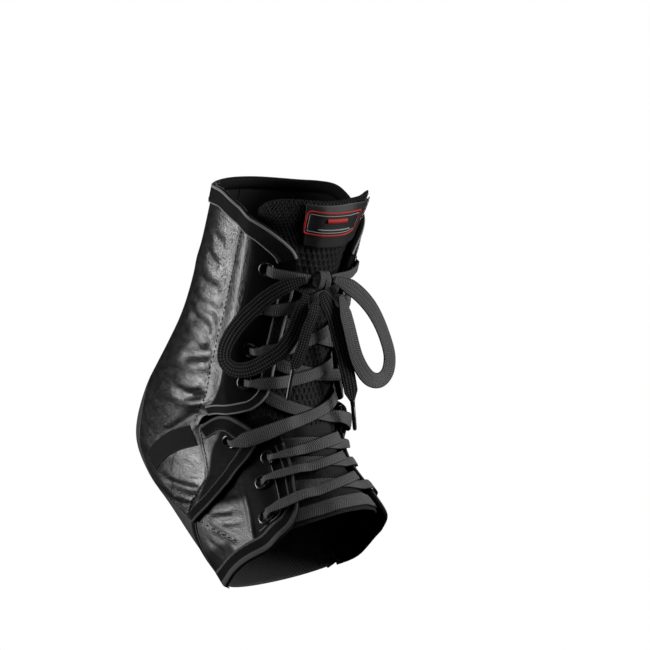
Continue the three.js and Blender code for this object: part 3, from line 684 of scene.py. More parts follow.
class Nodes:
    """A small helper that adds and joins shader nodes."""

    def __init__(self, name):
        self.material = bpy.data.materials.new(name)
        self.material.use_nodes = True
        self.tree = self.material.node_tree
        self.shader = self.tree.nodes["Principled BSDF"]

    def feed(self, socket, value):
        """Set a socket to a number, grey value or colour, or join another socket to it."""
        if value is None:
            return
        if not isinstance(value, (int, float, tuple)):
            self.tree.links.new(value, socket)
        elif socket.type == "RGBA":
            socket.default_value = (*value, 1) if isinstance(value, tuple) else (value, value, value, 1)
        else:
            socket.default_value = value

    def fed(self, node, *values):
        for socket, value in zip(node.inputs, values):
            self.feed(socket, value)
        return node

    def add(self, kind, **settings):
        node = self.tree.nodes.new(kind)
        for key, value in settings.items():
            if key in node.inputs:
                self.feed(node.inputs[key], value)
            else:
                setattr(node, key, value)
        return node

    def math(self, operation, a, b=None, c=None):
        return self.fed(self.add("ShaderNodeMath", operation=operation), a, b, c).outputs[0]

    def times(self, a, b):
        return self.math("MULTIPLY", a, b)

    def plus(self, a, b):
        return self.math("ADD", a, b)

    def wave(self, value, turns):
        """Sine with a number of turns for each unit."""
        return self.math("SINE", self.times(value, 2 * math.pi * turns))

    def above_zero(self, wave):
        """A wave between -1 and 1, brought to 0 to 1."""
        return self.math("MULTIPLY_ADD", wave, 0.5, 0.5)

    def vector(self, operation, a, b=None, scale=None):
        node = self.fed(self.add("ShaderNodeVectorMath", operation=operation), a, b)
        if scale is not None:
            self.feed(node.inputs["Scale"], scale)
        return node.outputs[1 if operation == "LENGTH" else 0]

    def ramp(self, value, low, high, to_low=0.0, to_high=1.0):
        node = self.add("ShaderNodeMapRange", interpolation_type="SMOOTHSTEP")
        return self.fed(node, value, low, high, to_low, to_high).outputs[0]

    def cloth(self):
        """Surface coordinates in millimetres."""
        return self.vector("SCALE", self.add("ShaderNodeUVMap", uv_map="cloth").outputs[0], scale=1 / MM)

    def solid(self):
        """Object coordinates in millimetres."""
        return self.vector("SCALE", self.add("ShaderNodeTexCoord").outputs["Object"], scale=1 / MM)

    def split(self, vector):
        return self.add("ShaderNodeSeparateXYZ", Vector=vector).outputs

    def mark(self, name):
        return self.add("ShaderNodeAttribute", attribute_name=name).outputs["Fac"]

    def noise(self, vector, scale, detail=3.0, rough=0.6):
        node = self.add("ShaderNodeTexNoise", Vector=vector, Scale=scale, Detail=detail, Roughness=rough)
        return node.outputs["Fac"]

    def mix(self, share, a, b):
        """Colour between a and b; each is a grey value or a colour."""
        node = self.add("ShaderNodeMix", data_type="RGBA")
        for place, value in ((0, share), (6, a), (7, b)):
            self.feed(node.inputs[place], value)
        return node.outputs[2]

    def bump(self, height, strength, distance, before=None):
        node = self.add("ShaderNodeBump", Strength=strength, Distance=distance, Height=height, Normal=before)
        return node.outputs[0]

    def finish(self, colour, rough, normal=None, specular=0.5, sheen=0.0, coat=0.0):
        settings = {
            "Base Color": colour, "Roughness": rough, "Normal": normal, "Specular IOR Level": specular,
            "Sheen Weight": sheen, "Coat Weight": coat, "Coat Roughness": 0.15,
        }
        for key, value in settings.items():
            self.feed(self.shader.inputs[key], value)
        return self.material


def weave(nodes, coords, warp, weft):
    """Over and under pattern of a plain weave, 0 to 1."""
    x, y, _ = nodes.split(coords)
    return nodes.above_zero(nodes.times(nodes.wave(x, warp), nodes.wave(y, weft)))


def coated_material(name):
    """Coated fabric: leathery grain and fine crinkles, glossy behind the seam; dull, near-black and barely
    reflective at the eyelets and in other marked zones, partly a matte finish and partly painted shade.
    """
    n = Nodes(name)
    coords = n.cloth()
    cells = n.add("ShaderNodeTexVoronoi", feature="DISTANCE_TO_EDGE", Vector=coords, Scale=0.8)
    pebble = n.ramp(cells.outputs["Distance"], 0.0, 0.3)
    fine = n.noise(coords, 0.85, 2.0)
    stretched = n.vector("MULTIPLY", coords, (0.42, 1.0, 1.0))
    crinkle = n.noise(stretched, 0.30)
    broad = n.noise(stretched, 0.09, 2.0, 0.5)
    matte = n.mark("matte")
    lining = n.mark("lining")
    calm = n.math("SUBTRACT", 1.0, n.times(matte, 0.6))
    large = n.bump(n.times(n.plus(crinkle, n.times(broad, 2.0)), calm), 1.0, 0.00022)
    small = n.plus(n.times(pebble, 0.35), fine)
    normal = n.bump(n.times(small, calm), 1.0, 0.00017, large)
    rough = n.plus(n.ramp(crinkle, 0.3, 0.7, 0.29, 0.38), n.times(matte, 0.3))
    rough = n.math("MAXIMUM", rough, n.times(lining, 0.85))
    colour = n.mix(n.ramp(fine, 0.35, 0.75), 0.003, 0.009)
    # The mark makes the colour a flat near-black and, below, cuts the shine: painted shade where the panel
    # turns from the light, besides a matte finish round the eyelets.
    colour = n.mix(lining, n.mix(matte, colour, 0.003), 0.008)
    shine = n.times(n.ramp(matte, 0.0, 1.0, 0.75, 0.05), n.ramp(lining, 0.0, 1.0, 1.0, 0.3))
    return n.finish(colour, rough, normal, shine)


def tape_material(name, shade=0.003, edge_glint_tone=0.07, rough=0.9):
    """Woven tape: fine ribs across it, with a highlight painted as a lighter colour along its edges."""
    n = Nodes(name)
    coords = n.cloth()
    fuzz = n.noise(coords, 2.6)
    height = n.plus(weave(n, coords, 1.0, 0.8), n.times(fuzz, 0.8))
    normal = n.bump(height, 0.8, 0.0002)
    colour = n.mix(n.ramp(height, 0.4, 1.4), shade * 0.5, shade * 1.7)
    edge_glint = n.times(n.ramp(n.mark("across"), 0.3, 0.9), n.ramp(fuzz, 0.25, 0.6, 0.4, 1.0))
    return n.finish(n.mix(edge_glint, colour, edge_glint_tone), rough, normal, specular=0.1)


def elastic_material():
    """Ribbed elastic knit."""
    n = Nodes("elastic_knit")
    coords = n.cloth()
    rib = n.wave(n.split(coords)[0], 0.55)
    knit = weave(n, coords, 0.55, 1.1)
    normal = n.bump(n.plus(n.times(rib, 0.5), knit), 0.6, 0.00025)
    colour = n.mix(n.ramp(knit, 0.2, 0.9), 0.006, 0.022)
    return n.finish(colour, 0.62, normal, specular=0.4, sheen=0.08)


def holes(n, across, down, small, large):
    """Round or upright holes in offset rows, `across` and `down` millimetres apart; 1 in a hole."""
    coords = n.vector("MULTIPLY", n.cloth(), (1 / across, 1 / down, 0.0))
    near = []
    for shift in (400.0, 400.5):
        cell = n.vector("MODULO", n.vector("ADD", coords, (shift, shift, 0.0)), (1.0, 1.0, 1.0))
        centred = n.vector("SUBTRACT", cell, (0.5, 0.5, 0.0))
        near.append(n.vector("LENGTH", n.vector("MULTIPLY", centred, (across, down * 0.62, 0.0))))
    return n.ramp(n.math("MINIMUM", *near), small, large, 1.0, 0.0)


def mesh_material():
    """Spacer mesh: knobbly above, upright slots below the label, and a fine weave at the lower end."""
    n = Nodes("spacer_mesh")
    coords = n.cloth()
    slots = n.mark("slots")
    knobbly = n.times(holes(n, 2.0, 3.4, 0.35, 0.75), n.math("SUBTRACT", 1.0, slots))
    upright = n.times(holes(n, 2.9, 6.6, 0.5, 1.0), slots)
    hole = n.times(n.plus(knobbly, upright), n.math("SUBTRACT", 1.0, n.mark("plain")))
    fuzz = n.noise(coords, 2.2)
    cloth = n.plus(n.times(weave(n, coords, 0.8, 0.8), 0.25), n.times(fuzz, 0.35))
    normal = n.bump(n.plus(cloth, n.math("SUBTRACT", 1.0, hole)), 1.0, 0.0009)
    # The holes are painted near-black: painted shade in the recesses of the mesh.
    colour = n.mix(hole, n.mix(n.ramp(fuzz, 0.3, 0.7), 0.003, 0.018), 0.001)
    return n.finish(colour, 0.6, normal, specular=0.15)


def lace_material(name, shaded_glinting):
    """Flat woven lace with slanted cross ribs; or the same lace darker, as painted shade, with lengthwise
    ridges whose lighter dots are painted glints. The edges of both are darkened as painted shade.
    """
    n = Nodes(name)
    coords = n.cloth()
    run = n.split(coords)[0]
    edge = n.mark("across")
    if shaded_glinting:
        # Darker colours as painted shade, and lighter dots on the ridge crests as painted glints.
        crest = n.above_zero(n.math("COSINE", n.times(edge, math.pi * LACE_RIDGES)))
        rib = n.times(crest, n.above_zero(n.wave(run, 1 / 1.3)))
        low, high = 0.003, 0.055
    else:
        rib = n.above_zero(n.wave(n.plus(run, n.times(edge, 1.4)), 1 / 1.05))
        low, high = 0.035, 0.11
    height = n.plus(rib, n.times(n.noise(coords, 2.2), 0.8))
    colour = n.mix(n.ramp(height, 0.2, 1.4), low, high)
    # Painted shade along the lace's edges, where laces meet and overlap.
    colour = n.mix(n.ramp(edge, 0.82, 0.97), colour, 0.008)
    return n.finish(colour, 0.8, n.bump(height, 0.7, 0.0003), specular=0.12)


def gloss_material(name, shade=0.006, rough=0.22, wear=0.1):
    """Painted black ring or moulded tip, with faint scuffs."""
    n = Nodes(name)
    scuff = n.noise(n.solid(), 1.4, 4.0)
    colour = n.mix(n.ramp(scuff, 0.5, 0.8), shade, shade * 2.2)
    surface = n.ramp(scuff, 0.3, 0.7, rough, rough + wear)
    return n.finish(colour, surface, n.bump(scuff, 0.15, 0.0001), coat=0.3)


def thread_material(name, shade, specular=0.3):
    n = Nodes(name)
    twist = n.noise(n.solid(), 4.0, 2.0, 0.5)
    dark = tuple(x * 0.7 for x in shade)
    return n.finish(n.mix(twist, dark, shade), 0.7, n.bump(twist, 0.4, 0.0001), specular)


def patch_material():
    """Satin label ground."""
    n = Nodes("label_satin")
    ribs = weave(n, n.cloth(), 3.0, 1.0)
    return n.finish(n.mix(ribs, 0.004, 0.010), 0.55, n.bump(ribs, 0.4, 0.0001), specular=0.4)


COATED = coated_material("coated_fabric")
WOVEN = tape_material("woven_tape")
# Tape with brighter painted highlights along its edges.
GLINT_EDGE_TAPE = tape_material("tape_painted_edge_glint", 0.004, 0.22, 0.7)
CHARCOAL = tape_material("woven_side_tape", 0.010, 0.020)
STRETCH = elastic_material()
SPACER = mesh_material()
LACE = lace_material("flat_lace", False)
# The same lace, darker as painted shade and with painted glints on its ridges.
SHADED_LACE = lace_material("lace_painted_shade_glints", True)
RING = gloss_material("black_ring")
TIP = gloss_material("black_tip", 0.008, 0.3)
THREAD = thread_material("black_thread", (0.006, 0.006, 0.006))
SEAM_THREAD = thread_material("seam_thread", (0.001, 0.001, 0.001), 0.0)
PALE_THREAD = thread_material("grey_thread", (0.12, 0.12, 0.125))
SATIN = patch_material()
RED_THREAD = thread_material("red_thread", (0.42, 0.02, 0.018))
GREY_THREAD = thread_material("pale_thread", (0.3, 0.3, 0.31))


# Camera first, then the free laces.

def add_camera():
    data = bpy.data.cameras.new("camera")
    data.lens = CAMERA_LENS
    data.sensor_width = SENSOR
    data.clip_end = 10
    camera = bpy.data.objects.new("camera", data)
    camera.location = CAMERA_PLACE
    camera.rotation_euler = Euler([math.radians(x) for x in CAMERA_TURN])
    bpy.context.scene.collection.objects.link(camera)
    bpy.context.scene.camera = camera


def spline_points(points, steps):
    """Evenly spaced points of a centripetal curve through the given points."""
    points = np.asarray(points, float)
    ends = np.vstack([2 * points[0] - points[1], points, 2 * points[-1] - points[-2]])
    pieces = []
    for p0, p1, p2, p3 in zip(ends, ends[1:], ends[2:], ends[3:]):
        d0, d1, d2 = (max(math.sqrt(np.linalg.norm(b - a)), 1e-4) for a, b in ((p0, p1), (p1, p2), (p2, p3)))
        m1 = ((p1 - p0) / d0 - (p2 - p0) / (d0 + d1) + (p2 - p1) / d1) * d1
        m2 = ((p2 - p1) / d1 - (p3 - p1) / (d1 + d2) + (p3 - p2) / d2) * d1
        s = np.linspace(0, 1, 24, endpoint=False)[:, None]
        pieces.append((2 * s**3 - 3 * s**2 + 1) * p1 + (s**3 - 2 * s**2 + s) * m1
                      + (3 * s**2 - 2 * s**3) * p2 + (s**3 - s**2) * m2)
    dense = np.vstack(pieces + [points[-1:]])
    lengths = running(dense)
    even = np.linspace(0, lengths[-1], steps + 1)
    return np.stack([np.interp(even, lengths, dense[:, k]) for k in range(3)], 1), lengths[-1]


def lace_profile(width, thickness=LACE_THICK):
    """Flat section of a lace with soft ridges on its face, as (across, height) pairs about its middle."""
    over = np.linspace(-1, 1, 19)
    under = np.linspace(1, -1, 8)[1:-1]
    dome = np.sqrt(np.clip(1 - np.abs(over) ** 5, 0, 1))
    ridge = 0.84 + 0.16 * np.cos(2 * math.pi * LACE_RIDGES * over / 2)
    top = np.stack([over * width / 2, dome * ridge * thickness / 2], 1)
    low = np.stack([under * width / 2, -np.sqrt(1 - np.abs(under) ** 5) * thickness / 2], 1)
    return np.vstack([top, low])


LACE_ACROSS = np.abs(lace_profile(2.0)[:, 0])


def strap_rings(places, steps, width, ends, turn=0, free=False):
    """Rings of a flat lace through places above the form, its middle line and its length.

    `turn` swings its face between the ends, and at the far end too if the strap is free.
    """
    spots = np.array([lifted(t, a, h * MM) for t, a, h in places])
    middle, length = spline_points(spots, steps)
    last = len(places) - 1
    swing = [turn * float(smooth((i if free else min(i, last - i)) / 3)) for i in range(last + 1)]
    normals = np.array([slopes(t, a + angle)[2] for (t, a, _), angle in zip(places, swing)])
    facing, _ = spline_points(normals, steps)
    forward = unit(np.gradient(middle, axis=0))
    facing = unit(facing)
    side = unit(np.cross(forward, facing))
    out = unit(np.cross(side, forward))
    s = np.linspace(0, 1, steps + 1)
    share = np.minimum(np.minimum(ends[0] + s * 8, ends[1] + (1 - s) * 8), 1)
    profile = lace_profile(width)
    rings = [middle + side * (x * share)[:, None] + out * h for x, h in profile]
    return np.stack(rings, 1), middle, length


def add_free_laces():
    """The loops and ends of the bow."""
    tips = {}
    for name, places in (("lateral", END_LATERAL), ("medial", END_MEDIAL)):
        before, last = (lifted(t, a, h * MM) for t, a, h in places[-2:])
        forward = unit(last - before)
        forward = unit(unit(forward * 0.5 + np.array([0, 0, -1]) * 0.5))
        tips[name] = aglet(name, last, forward)
    jobs = (
        ("bow_loop_lateral", LOOP_LATERAL, 150, 0.008, (0.4, 0.4), 0, "object", []),
        ("bow_loop_medial", LOOP_MEDIAL, 150, 0.008, (0.4, 0.4), LOOP_TURN, "object", []),
        ("bow_end_lateral", END_LATERAL, 60, 0.006, (0.4, 0.35), 0, "fitting", [tips["lateral"]]),
        ("bow_end_medial", END_MEDIAL, 80, 0.0075, (0.4, 0.35), LOOP_TURN, "fitting", [tips["medial"]]),
    )
    for name, places, steps, width, ends, turn, far_end, pieces in jobs:
        rings, middle, length = strap_rings(places, steps, width, ends, turn, far_end == "fitting")
        obj = tube_mesh(name + "_lace", rings, LACE_ACROSS)
        # The lateral loop and both ends take the darker lace with painted shade and glints; the medial loop
        # the lighter copy of the same lace.
        finish_piece(obj, LACE if name == "bow_loop_medial" else SHADED_LACE, [name])


AGLET_PROFILE = [                # millimetres from the mouth, and share of the radius
    (-1.2, 0.55), (-1.2, 0.95), (-0.9, 1.0), (0.7, 0.98), (1.0, 0.9), (2.2, 0.9), (2.5, 0.84), (2.8, 0.9),
    (8.0, 0.88), (13.4, 0.84), (14.3, 0.74), (14.8, 0.5), (15.0, 0.15),
]


def aglet(name, start, forward):
    """Crimped lace tip: a slightly tapered tube with a rolled mouth and a rounded end."""
    side = unit(np.cross(forward, [0.3, 1, 0.1]))
    up = np.cross(side, forward)
    profile = [(x * MM + GAP, r * AGLET_THICK / 2) for x, r in AGLET_PROFILE]
    obj = tube_mesh("lace_tip_" + name, turned(profile, start, forward, side, up * 0.9, 24))
    return finish_piece(obj, TIP, ["aglet_" + name])


# Panels.

# Lines on the panels, as station and angle: the seam, the borders of the matte lacing zones with painted
# shade, the ridges.
SEAM_LINE = [
    (0.190, 70), (0.230, 71), (0.318, 73), (0.365, 74), (0.420, 75), (0.455, 76), (0.517, 76), (0.562, 77),
    (0.595, 82), (0.628, 82),
]
STAY_LINE = [
    (0.170, 62), (0.230, 60), (0.255, 58.5), (0.278, 57.5), (0.302, 58), (0.352, 59), (0.385, 60.5),
    (0.430, 62.5), (0.482, 65), (0.510, 65.5), (0.542, 69), (0.62, 80),
]
FLAP_STAY = [(0.560, 62), (0.633, 64), (0.685, 69), (0.768, 71.5), (0.83, 85), (0.87, 98)]
LOWER_STAY = [
    (0.560, 50), (0.760, 56), (0.807, 55.5), (0.840, 56.5), (0.878, 58.5), (0.917, 63.5), (0.96, 70),
]
RIDGE = [(0.795, 56.5), (0.840, 57), (0.878, 59), (0.925, 64.5)]
INNER_RIDGE = [(0.69, 37), (0.768, 36), (0.82, 37), (0.868, 39), (0.902, 42), (0.91, 51), (0.912, 58)]


def creases(t, a, table):
    """Soft creases, each a valley with a low ridge on both sides."""
    height = 0
    for points, depth, wide in table:
        far, share = distance_to(points, t, a)
        x = far / (wide * MM)
        fade = smooth(share / 0.35) * smooth((1 - share) / 0.2)
        height = height + depth * fade * (0.45 * np.exp(-((np.abs(x) - 1.9) ** 2)) - np.exp(-x * x))
    return height * MM


def bell(far, width):
    return np.exp(-((far / (width * MM)) ** 2))


def main_extra(t, a):
    """Creases, the dent of the seam, and the raised zone in front of the stay line."""
    seam, share = distance_to(SEAM_LINE, t, a)
    ends = smooth(share / 0.02) * smooth((1 - share) / 0.02)
    stay, _ = distance_to(STAY_LINE, t, a)
    raised = 0.3 * smooth(-stay / MM / 1.4)
    return creases(t, a, CREASES) + (raised - 0.12 * bell(seam, 1.5) * ends) * MM


def main_marks(t, a):
    # Painted shade and a matte finish in front of the stay line, round the eyelets.
    stay, _ = distance_to(STAY_LINE, t, a)
    return {"matte": smooth(0.4 - stay / MM) * smooth((0.6 - t) / 0.02)}


def flap_marks(t, a):
    # Painted shade and a matte finish over the flap in front of its stay line.
    far, _ = distance_to(FLAP_STAY, t, a)
    return {"matte": smooth(0.5 - far / MM / 2.4)}


def lower_extra(t, a):
    """Creases and the two ridges beside the eyelets."""
    ridges = 0
    for line, height, width, end in ((RIDGE, 0.75, 1.1, 0.15), (INNER_RIDGE, 0.55, 1.0, 0.1)):
        far, share = distance_to(line, t, a)
        ridges = ridges + height * smooth(share / end) * smooth((1 - share) / end) * bell(far, width)
    return ridges * MM + creases(t, a, LOWER_CREASES)


def lower_marks(t, a):
    # Painted shade: the whole lower panel is dulled a little, and its upper part, its low back and the zone
    # in front of the stay line are made near-black and barely reflective; the last is also a matte finish.
    far, _ = distance_to(LOWER_STAY, t, a)
    bottom_shade = smooth((t - 0.893) / 0.02) * smooth((np.abs(a) - 76) / 6)
    upper_shade = smooth((0.862 - t) / 0.03)
    stay = smooth(0.5 - far / MM / 2.0)
    return {"matte": np.maximum.reduce([np.full(np.shape(t), 0.3), upper_shade * 0.9, bottom_shade * 0.8, stay])}


def declare_sheet(area, size):
    width, length = size
    if area > width * length:
        scale = math.sqrt(area / (width * length)) * 1.002
        width, length = width * scale, length * scale


def flap_extra(t, a):
    """The flap's back edge lies a little above the main panel."""
    near = np.abs(a) - line_at(FLAP_BACK, t)
    return 0.16 * MM * smooth((near + 3) / 3)


def add_panels(side, name):
    sewn = [(t, a + FLAP_SEWN) for t, a in FLAP_BACK]
    main = (COLLAR, HEEL_SEAM, BACK_EDGE, FRONT_EDGE + LIP + SEAM)
    flap = (sewn[:1] + FLAP_TOP[1:], sewn[-1:] + FLAP_DIAGONAL[1:], sewn, FLAP_TIP)
    lower = (LOWER_TOP, RIM, LOWER_BACK, LOWER_FRONT)
    cuts = (
        ("main_panel_", main, 150, 220, panel_lift, main_extra, main_marks),
        ("flap_", flap, 90, 70, flap_lift, flap_extra, flap_marks),
        ("lower_panel_", lower, 90, 130, panel_lift, lower_extra, lower_marks),
    )
    for stem, edges, across, down, lift, extra, marks in cuts:
        place = patch(*(sided(edge, side) for edge in edges))
        obj, area, size = cloth_slab(stem + name + "_cloth", place, across, down, lift, FABRIC, extra, marks)
        finish_piece(obj, COATED, [stem + name])
        declare_sheet(area, size)


def add_elastic():
    """Stretch piece under the heel and sole; its edges are tucked and sewn under the panels."""
    edge = [(0.435, 172 - TUCK)] + [(t, a - TUCK) for t, a in ELASTIC_EDGE]
    other = [(t, 360 - a) for t, a in edge]
    place = patch([edge[0], other[0]], [edge[-1], other[-1]], edge, other)

    def lift(t, a):
        reach = np.abs(180 - a) - (180 - line_at(ELASTIC_EDGE, t))
        tucked = np.maximum(smooth((reach + 1.5) / 3.0), 1 - smooth((t - 0.47) / 0.03))
        return GAP - TUCK_DEPTH * tucked

    obj, area, size = cloth_slab("heel_sole_elastic_cloth", place, 90, 180, lift, ELASTIC)
    finish_piece(obj, STRETCH, ["heel_sole_elastic"])
    declare_sheet(area, size)


def tongue_hem(t, a):
    return 0.35 * MM * smooth((t - (TONGUE_BOTTOM - 0.034)) / 0.004)


def tongue_marks(t, a):
    return {"plain": smooth((t - 0.60) / 0.01), "slots": smooth((t - 0.222) / 0.004)}


def add_tongue():
    bottom = [(TONGUE_BOTTOM, 45), (TONGUE_BOTTOM, 0), (TONGUE_BOTTOM, -45)]
    place = patch(TONGUE_TOP, bottom, TONGUE_EDGE, mirrored(TONGUE_EDGE))
    obj, _, _ = cloth_slab("tongue_cloth", place, 110, 200, tongue_lift, tongue_thickness, tongue_hem,
                           tongue_marks)
    finish_piece(obj, SPACER, ["tongue"])


# Bindings, tapes and stitches.

def tapered(width, later):
    """Scale of a tape that goes from one width to another near the middle of its length."""
    return lambda s: 1 + (later / width - 1) * smooth((s - 0.42) / 0.2)


def flipped(profile, side):
    return [(-side * x, h, mark) for x, h, mark in profile]


def tape_piece(name, line, steps, profile, lift, material=WOVEN, scale=None, nodes=()):
    rings = swept(line, steps, profile, lift, scale)
    obj = tube_mesh(name, rings, [row[2] for row in profile])
    return finish_piece(obj, material, nodes)


def on_panel(t, a, s, x):
    return panel_top(t, np.where(np.abs(a) > 180, 360 - np.abs(a), a))


def on_flap(t, a, s, x):
    return flap_top(t, a)


def flap_binding_line():
    return FLAP_TOP[:4] + FLAP_TIP + backwards(FLAP_DIAGONAL[1:6])


def lower_binding_line():
    return LOWER_FRONT[2:] + backwards(RIM)[1:]


def collar_line():
    other = [(t, 360 - a) for t, a in COLLAR]
    return backwards(COLLAR) + other[1:]


def add_bindings(side, name):
    front, lower = TAPE_WIDTH * 0.6, TAPE_WIDTH * 0.4
    bindings = (
        ("front", FRONT_EDGE[2:] + LIP[:5], 180, front, on_panel, GLINT_EDGE_TAPE, tapered(front, TAPE_WIDTH * 0.5)),
        ("flap", flap_binding_line(), 160, TAPE_WIDTH * FLAP_TAPE, on_flap, WOVEN, None),
        ("lower", lower_binding_line(), 220, lower, on_panel, WOVEN, tapered(lower, TAPE_WIDTH * 0.9)),
    )
    for part, line, steps, width, lift, material, scale in bindings:
        node = f"{part}_binding_{name}"
        profile = flipped(rolled_profile(width, TAPE * 0.8, TAPE_LIFT, FABRIC), side)
        tape_piece(node + "_tape", sided(line, side), steps, profile, lift, material, scale, [node])
    # A pale thread line along the inner ridge stands in for the light on the ridge: a painted highlight.
    t, a = along(rounded(sided(INNER_RIDGE, side)), np.linspace(0, 1, 40))
    thread_loop(f"lower_ridge_highlight_{name}", t, a, above(panel_top, 0.1 * MM, lower_extra), 0.3 * MM, PALE_THREAD,
                closed=False, slot="woven_tape")
    flat = tape_profile(TAPE_WIDTH * 0.62, TAPE * 0.6, -0.2 * MM)
    strip = [(x - 2.6 * MM * side, h, mark) for x, h, mark in flat]
    tape_piece(f"lower_strip_{name}_tape", sided(LOWER_BACK[6:], side), 60, strip, on_panel)
    flat = tape_profile(TAPE_WIDTH * 1.36, TAPE * 0.5, 0.05 * MM)
    node = f"side_tape_{name}"
    tape_piece(node + "_tape", sided(TAPE_LINE, side), 60, flat, on_panel, CHARCOAL, nodes=[node])


def add_collar():
    tape_piece("collar_binding_tape", collar_line(), 420,
               rolled_profile(TAPE_WIDTH, TAPE * 0.9, GAP * 0.6, FABRIC, leaf=5 * MM), on_panel, GLINT_EDGE_TAPE,
               nodes=["collar_binding"])


def above(top, rise, extra=None):
    """Height a little above a layer, and above what its outer face adds."""
    return lambda t, a: top(t, a) + rise + (extra(t, a) if extra else 0)


def add_stitches(side, name):
    tape_top = TAPE_LIFT + TAPE * 0.8
    front, flap, lower, seam, sewn_edge, dashes, heel = (sided(line, side) for line in (
        FRONT_EDGE[2:], flap_binding_line(), lower_binding_line(), SEAM_LINE, FLAP_BACK, LOWER_CREASES[0][0],
        HEEL_SEAM))
    dark_rows = [
        stitches(front, side * (1.4 * MM - TAPE_WIDTH * 0.6), above(panel_top, tape_top)),
        stitches(flap, side * (1.5 * MM - TAPE_WIDTH * FLAP_TAPE), above(flap_top, tape_top)),
        stitches(lower, side * (1.6 * MM - TAPE_WIDTH * 0.9), above(panel_top, tape_top), start=0.62),
    ]
    stitch_mesh(f"tape_stitches_{name}", dark_rows, 0.2 * MM, THREAD)
    size = {"pitch": 2.3 * MM, "share": 0.7}
    seam_rows = [
        stitches(seam, 0.0, above(panel_top, 0.06 * MM, main_extra), **size),
        stitches(sewn_edge, -0.5 * MM * side, above(flap_top, 0.04 * MM, flap_extra), **size),
        stitches(dashes, 0.0, above(panel_top, 0.06 * MM), **size),
    ]
    stitch_mesh(f"seam_stitches_{name}", seam_rows, 0.34 * MM, SEAM_THREAD)
    pale_row = stitches(heel, 1.4 * MM * side, above(panel_top, 0.06 * MM), pitch=2.3 * MM)
    stitch_mesh(f"heel_stitches_{name}", [pale_row], 0.24 * MM, PALE_THREAD)


def add_collar_stitches():
    def height(t, a):
        return panel_top(t, np.where(a > 180, 360 - a, a)) + GAP * 0.6 + TAPE * 0.9

    rows = [stitches(collar_line(), TAPE_WIDTH - 1.6 * MM, height, start=0.005, end=0.995)]
    stitch_mesh("collar_stitches", rows, 0.22 * MM, THREAD)


# Eyelets.

# The last rows close the hole with a floor in the ring's black, which stands in for the shade inside the
# hole.
EYELET_PROFILE = [               # radius and height in millimetres
    (4.0, 0.0), (4.05, 0.25), (3.98, 0.6), (3.75, 0.95), (3.4, 1.15), (3.05, 1.2), (2.75, 1.1), (2.5, 0.85),
    (2.38, 0.5), (2.34, 0.1), (2.2, 0.06), (1.2, 0.05), (0.02, 0.05),
]


def add_eyelets(side, name):
    profile = [(h * MM, r * MM) for r, h in EYELET_PROFILE]
    for row, (t, angle, carrier) in enumerate(EYELETS):
        a = angle * side
        base = (flap_top if carrier == "flap" else panel_top)(t, a) + GAP
        down, _, normal = slopes(t, a)
        x = unit(down - normal * (down @ normal))
        rings = turned(profile, lifted(t, a, base), normal, x, np.cross(normal, x), 40)
        obj = tube_mesh(f"ring_{name}_{row + 1}", rings)
        finish_piece(obj, RING, [f"eyelet_{name}_{row + 1}"])


# Laces over the instep.

def edge_angle(t):
    return np.where(t < 0.54, line_at(FRONT_EDGE, t), line_at(LOWER_FRONT, t))


def crossing(row, side, steps=84):
    """Rings of one lace run from an eyelet, over its panel edge and the tongue, under the far edge."""
    t0, a0, _ = EYELETS[row]
    t1 = EYELETS[row - 1][0]
    low = row > 4
    full = LACE_FOLDED if low else LACE_WIDTH * 0.9
    line = np.array([(t0, a0 * side), (t1 + (0.015 if low else 0.01), -(float(edge_angle(t1)) + 8) * side)])
    s = np.linspace(0, 1, steps + 1)
    t, a = along(line, s)
    length = line_lengths(line)[-1]
    half = (LACE_NARROW + (full - LACE_NARROW) * smooth((s * length - 2.5 * MM) / (5 * MM))) / 2
    _, _, _, _, across = frames_along([tuple(p) for p in line], steps)

    highest = np.zeros_like(s)
    for x in (-1, -0.5, 0, 0.5, 1):
        tt, aa = walk(t, a, across, x * half)
        far = aa * side < -(edge_angle(tt) - 4)
        highest = np.maximum(highest, np.where(far, tongue_top(tt, aa), outer_top(tt, aa)))
    reach = 8
    padded = np.pad(highest, reach, mode="edge")
    highest = np.max([padded[k:k + len(s)] for k in range(2 * reach + 1)], axis=0)
    weight = np.exp(-(np.arange(-reach, reach + 1) / 4.5) ** 2)
    highest = np.convolve(np.pad(highest, reach, mode="edge"), weight / weight.sum(), mode="valid")

    rise = GAP * 1.5 * (1 - smooth((s - 0.1) / 0.1))
    if side > 0:
        rise = rise + (LACE_THICK + GAP) * (1 - smooth((-a * side - edge_angle(t) + 11) / 6))
    dive = 3.0 * MM * (1 - smooth((s * length - 0.3 * MM) / (2.1 * MM)))
    level = highest + GAP * 0.4 + rise - dive
    rings = []
    for x, h in lace_profile(2.0):
        tt, aa = walk(t, a, across, x * half)
        rings.append(lifted(tt, aa, level + LACE_THICK / 2 + h))
    return np.stack(rings, 1)


def add_laces():
    for row in range(1, len(EYELETS)):
        for side, name in SIDES:
            node = f"lace_cross_{name}_{row + 1}"
            obj = tube_mesh(f"lace_run_{name}_{row + 1}", crossing(row, side), LACE_ACROSS)
            finish_piece(obj, LACE, [node])
    t = EYELETS[-1][0] + 0.012
    reach = float(edge_angle(EYELETS[-1][0])) + 8
    profile = [(x, h + GAP + LACE_THICK / 2) for x, h in lace_profile(LACE_WIDTH)]
    rings = swept([(t, reach), (t, -reach)], 80, profile, lambda t, a, s, x: tongue_top(t, a))
    finish_piece(tube_mesh("lace_run_bar", rings, LACE_ACROSS), LACE, ["lace_bar"])


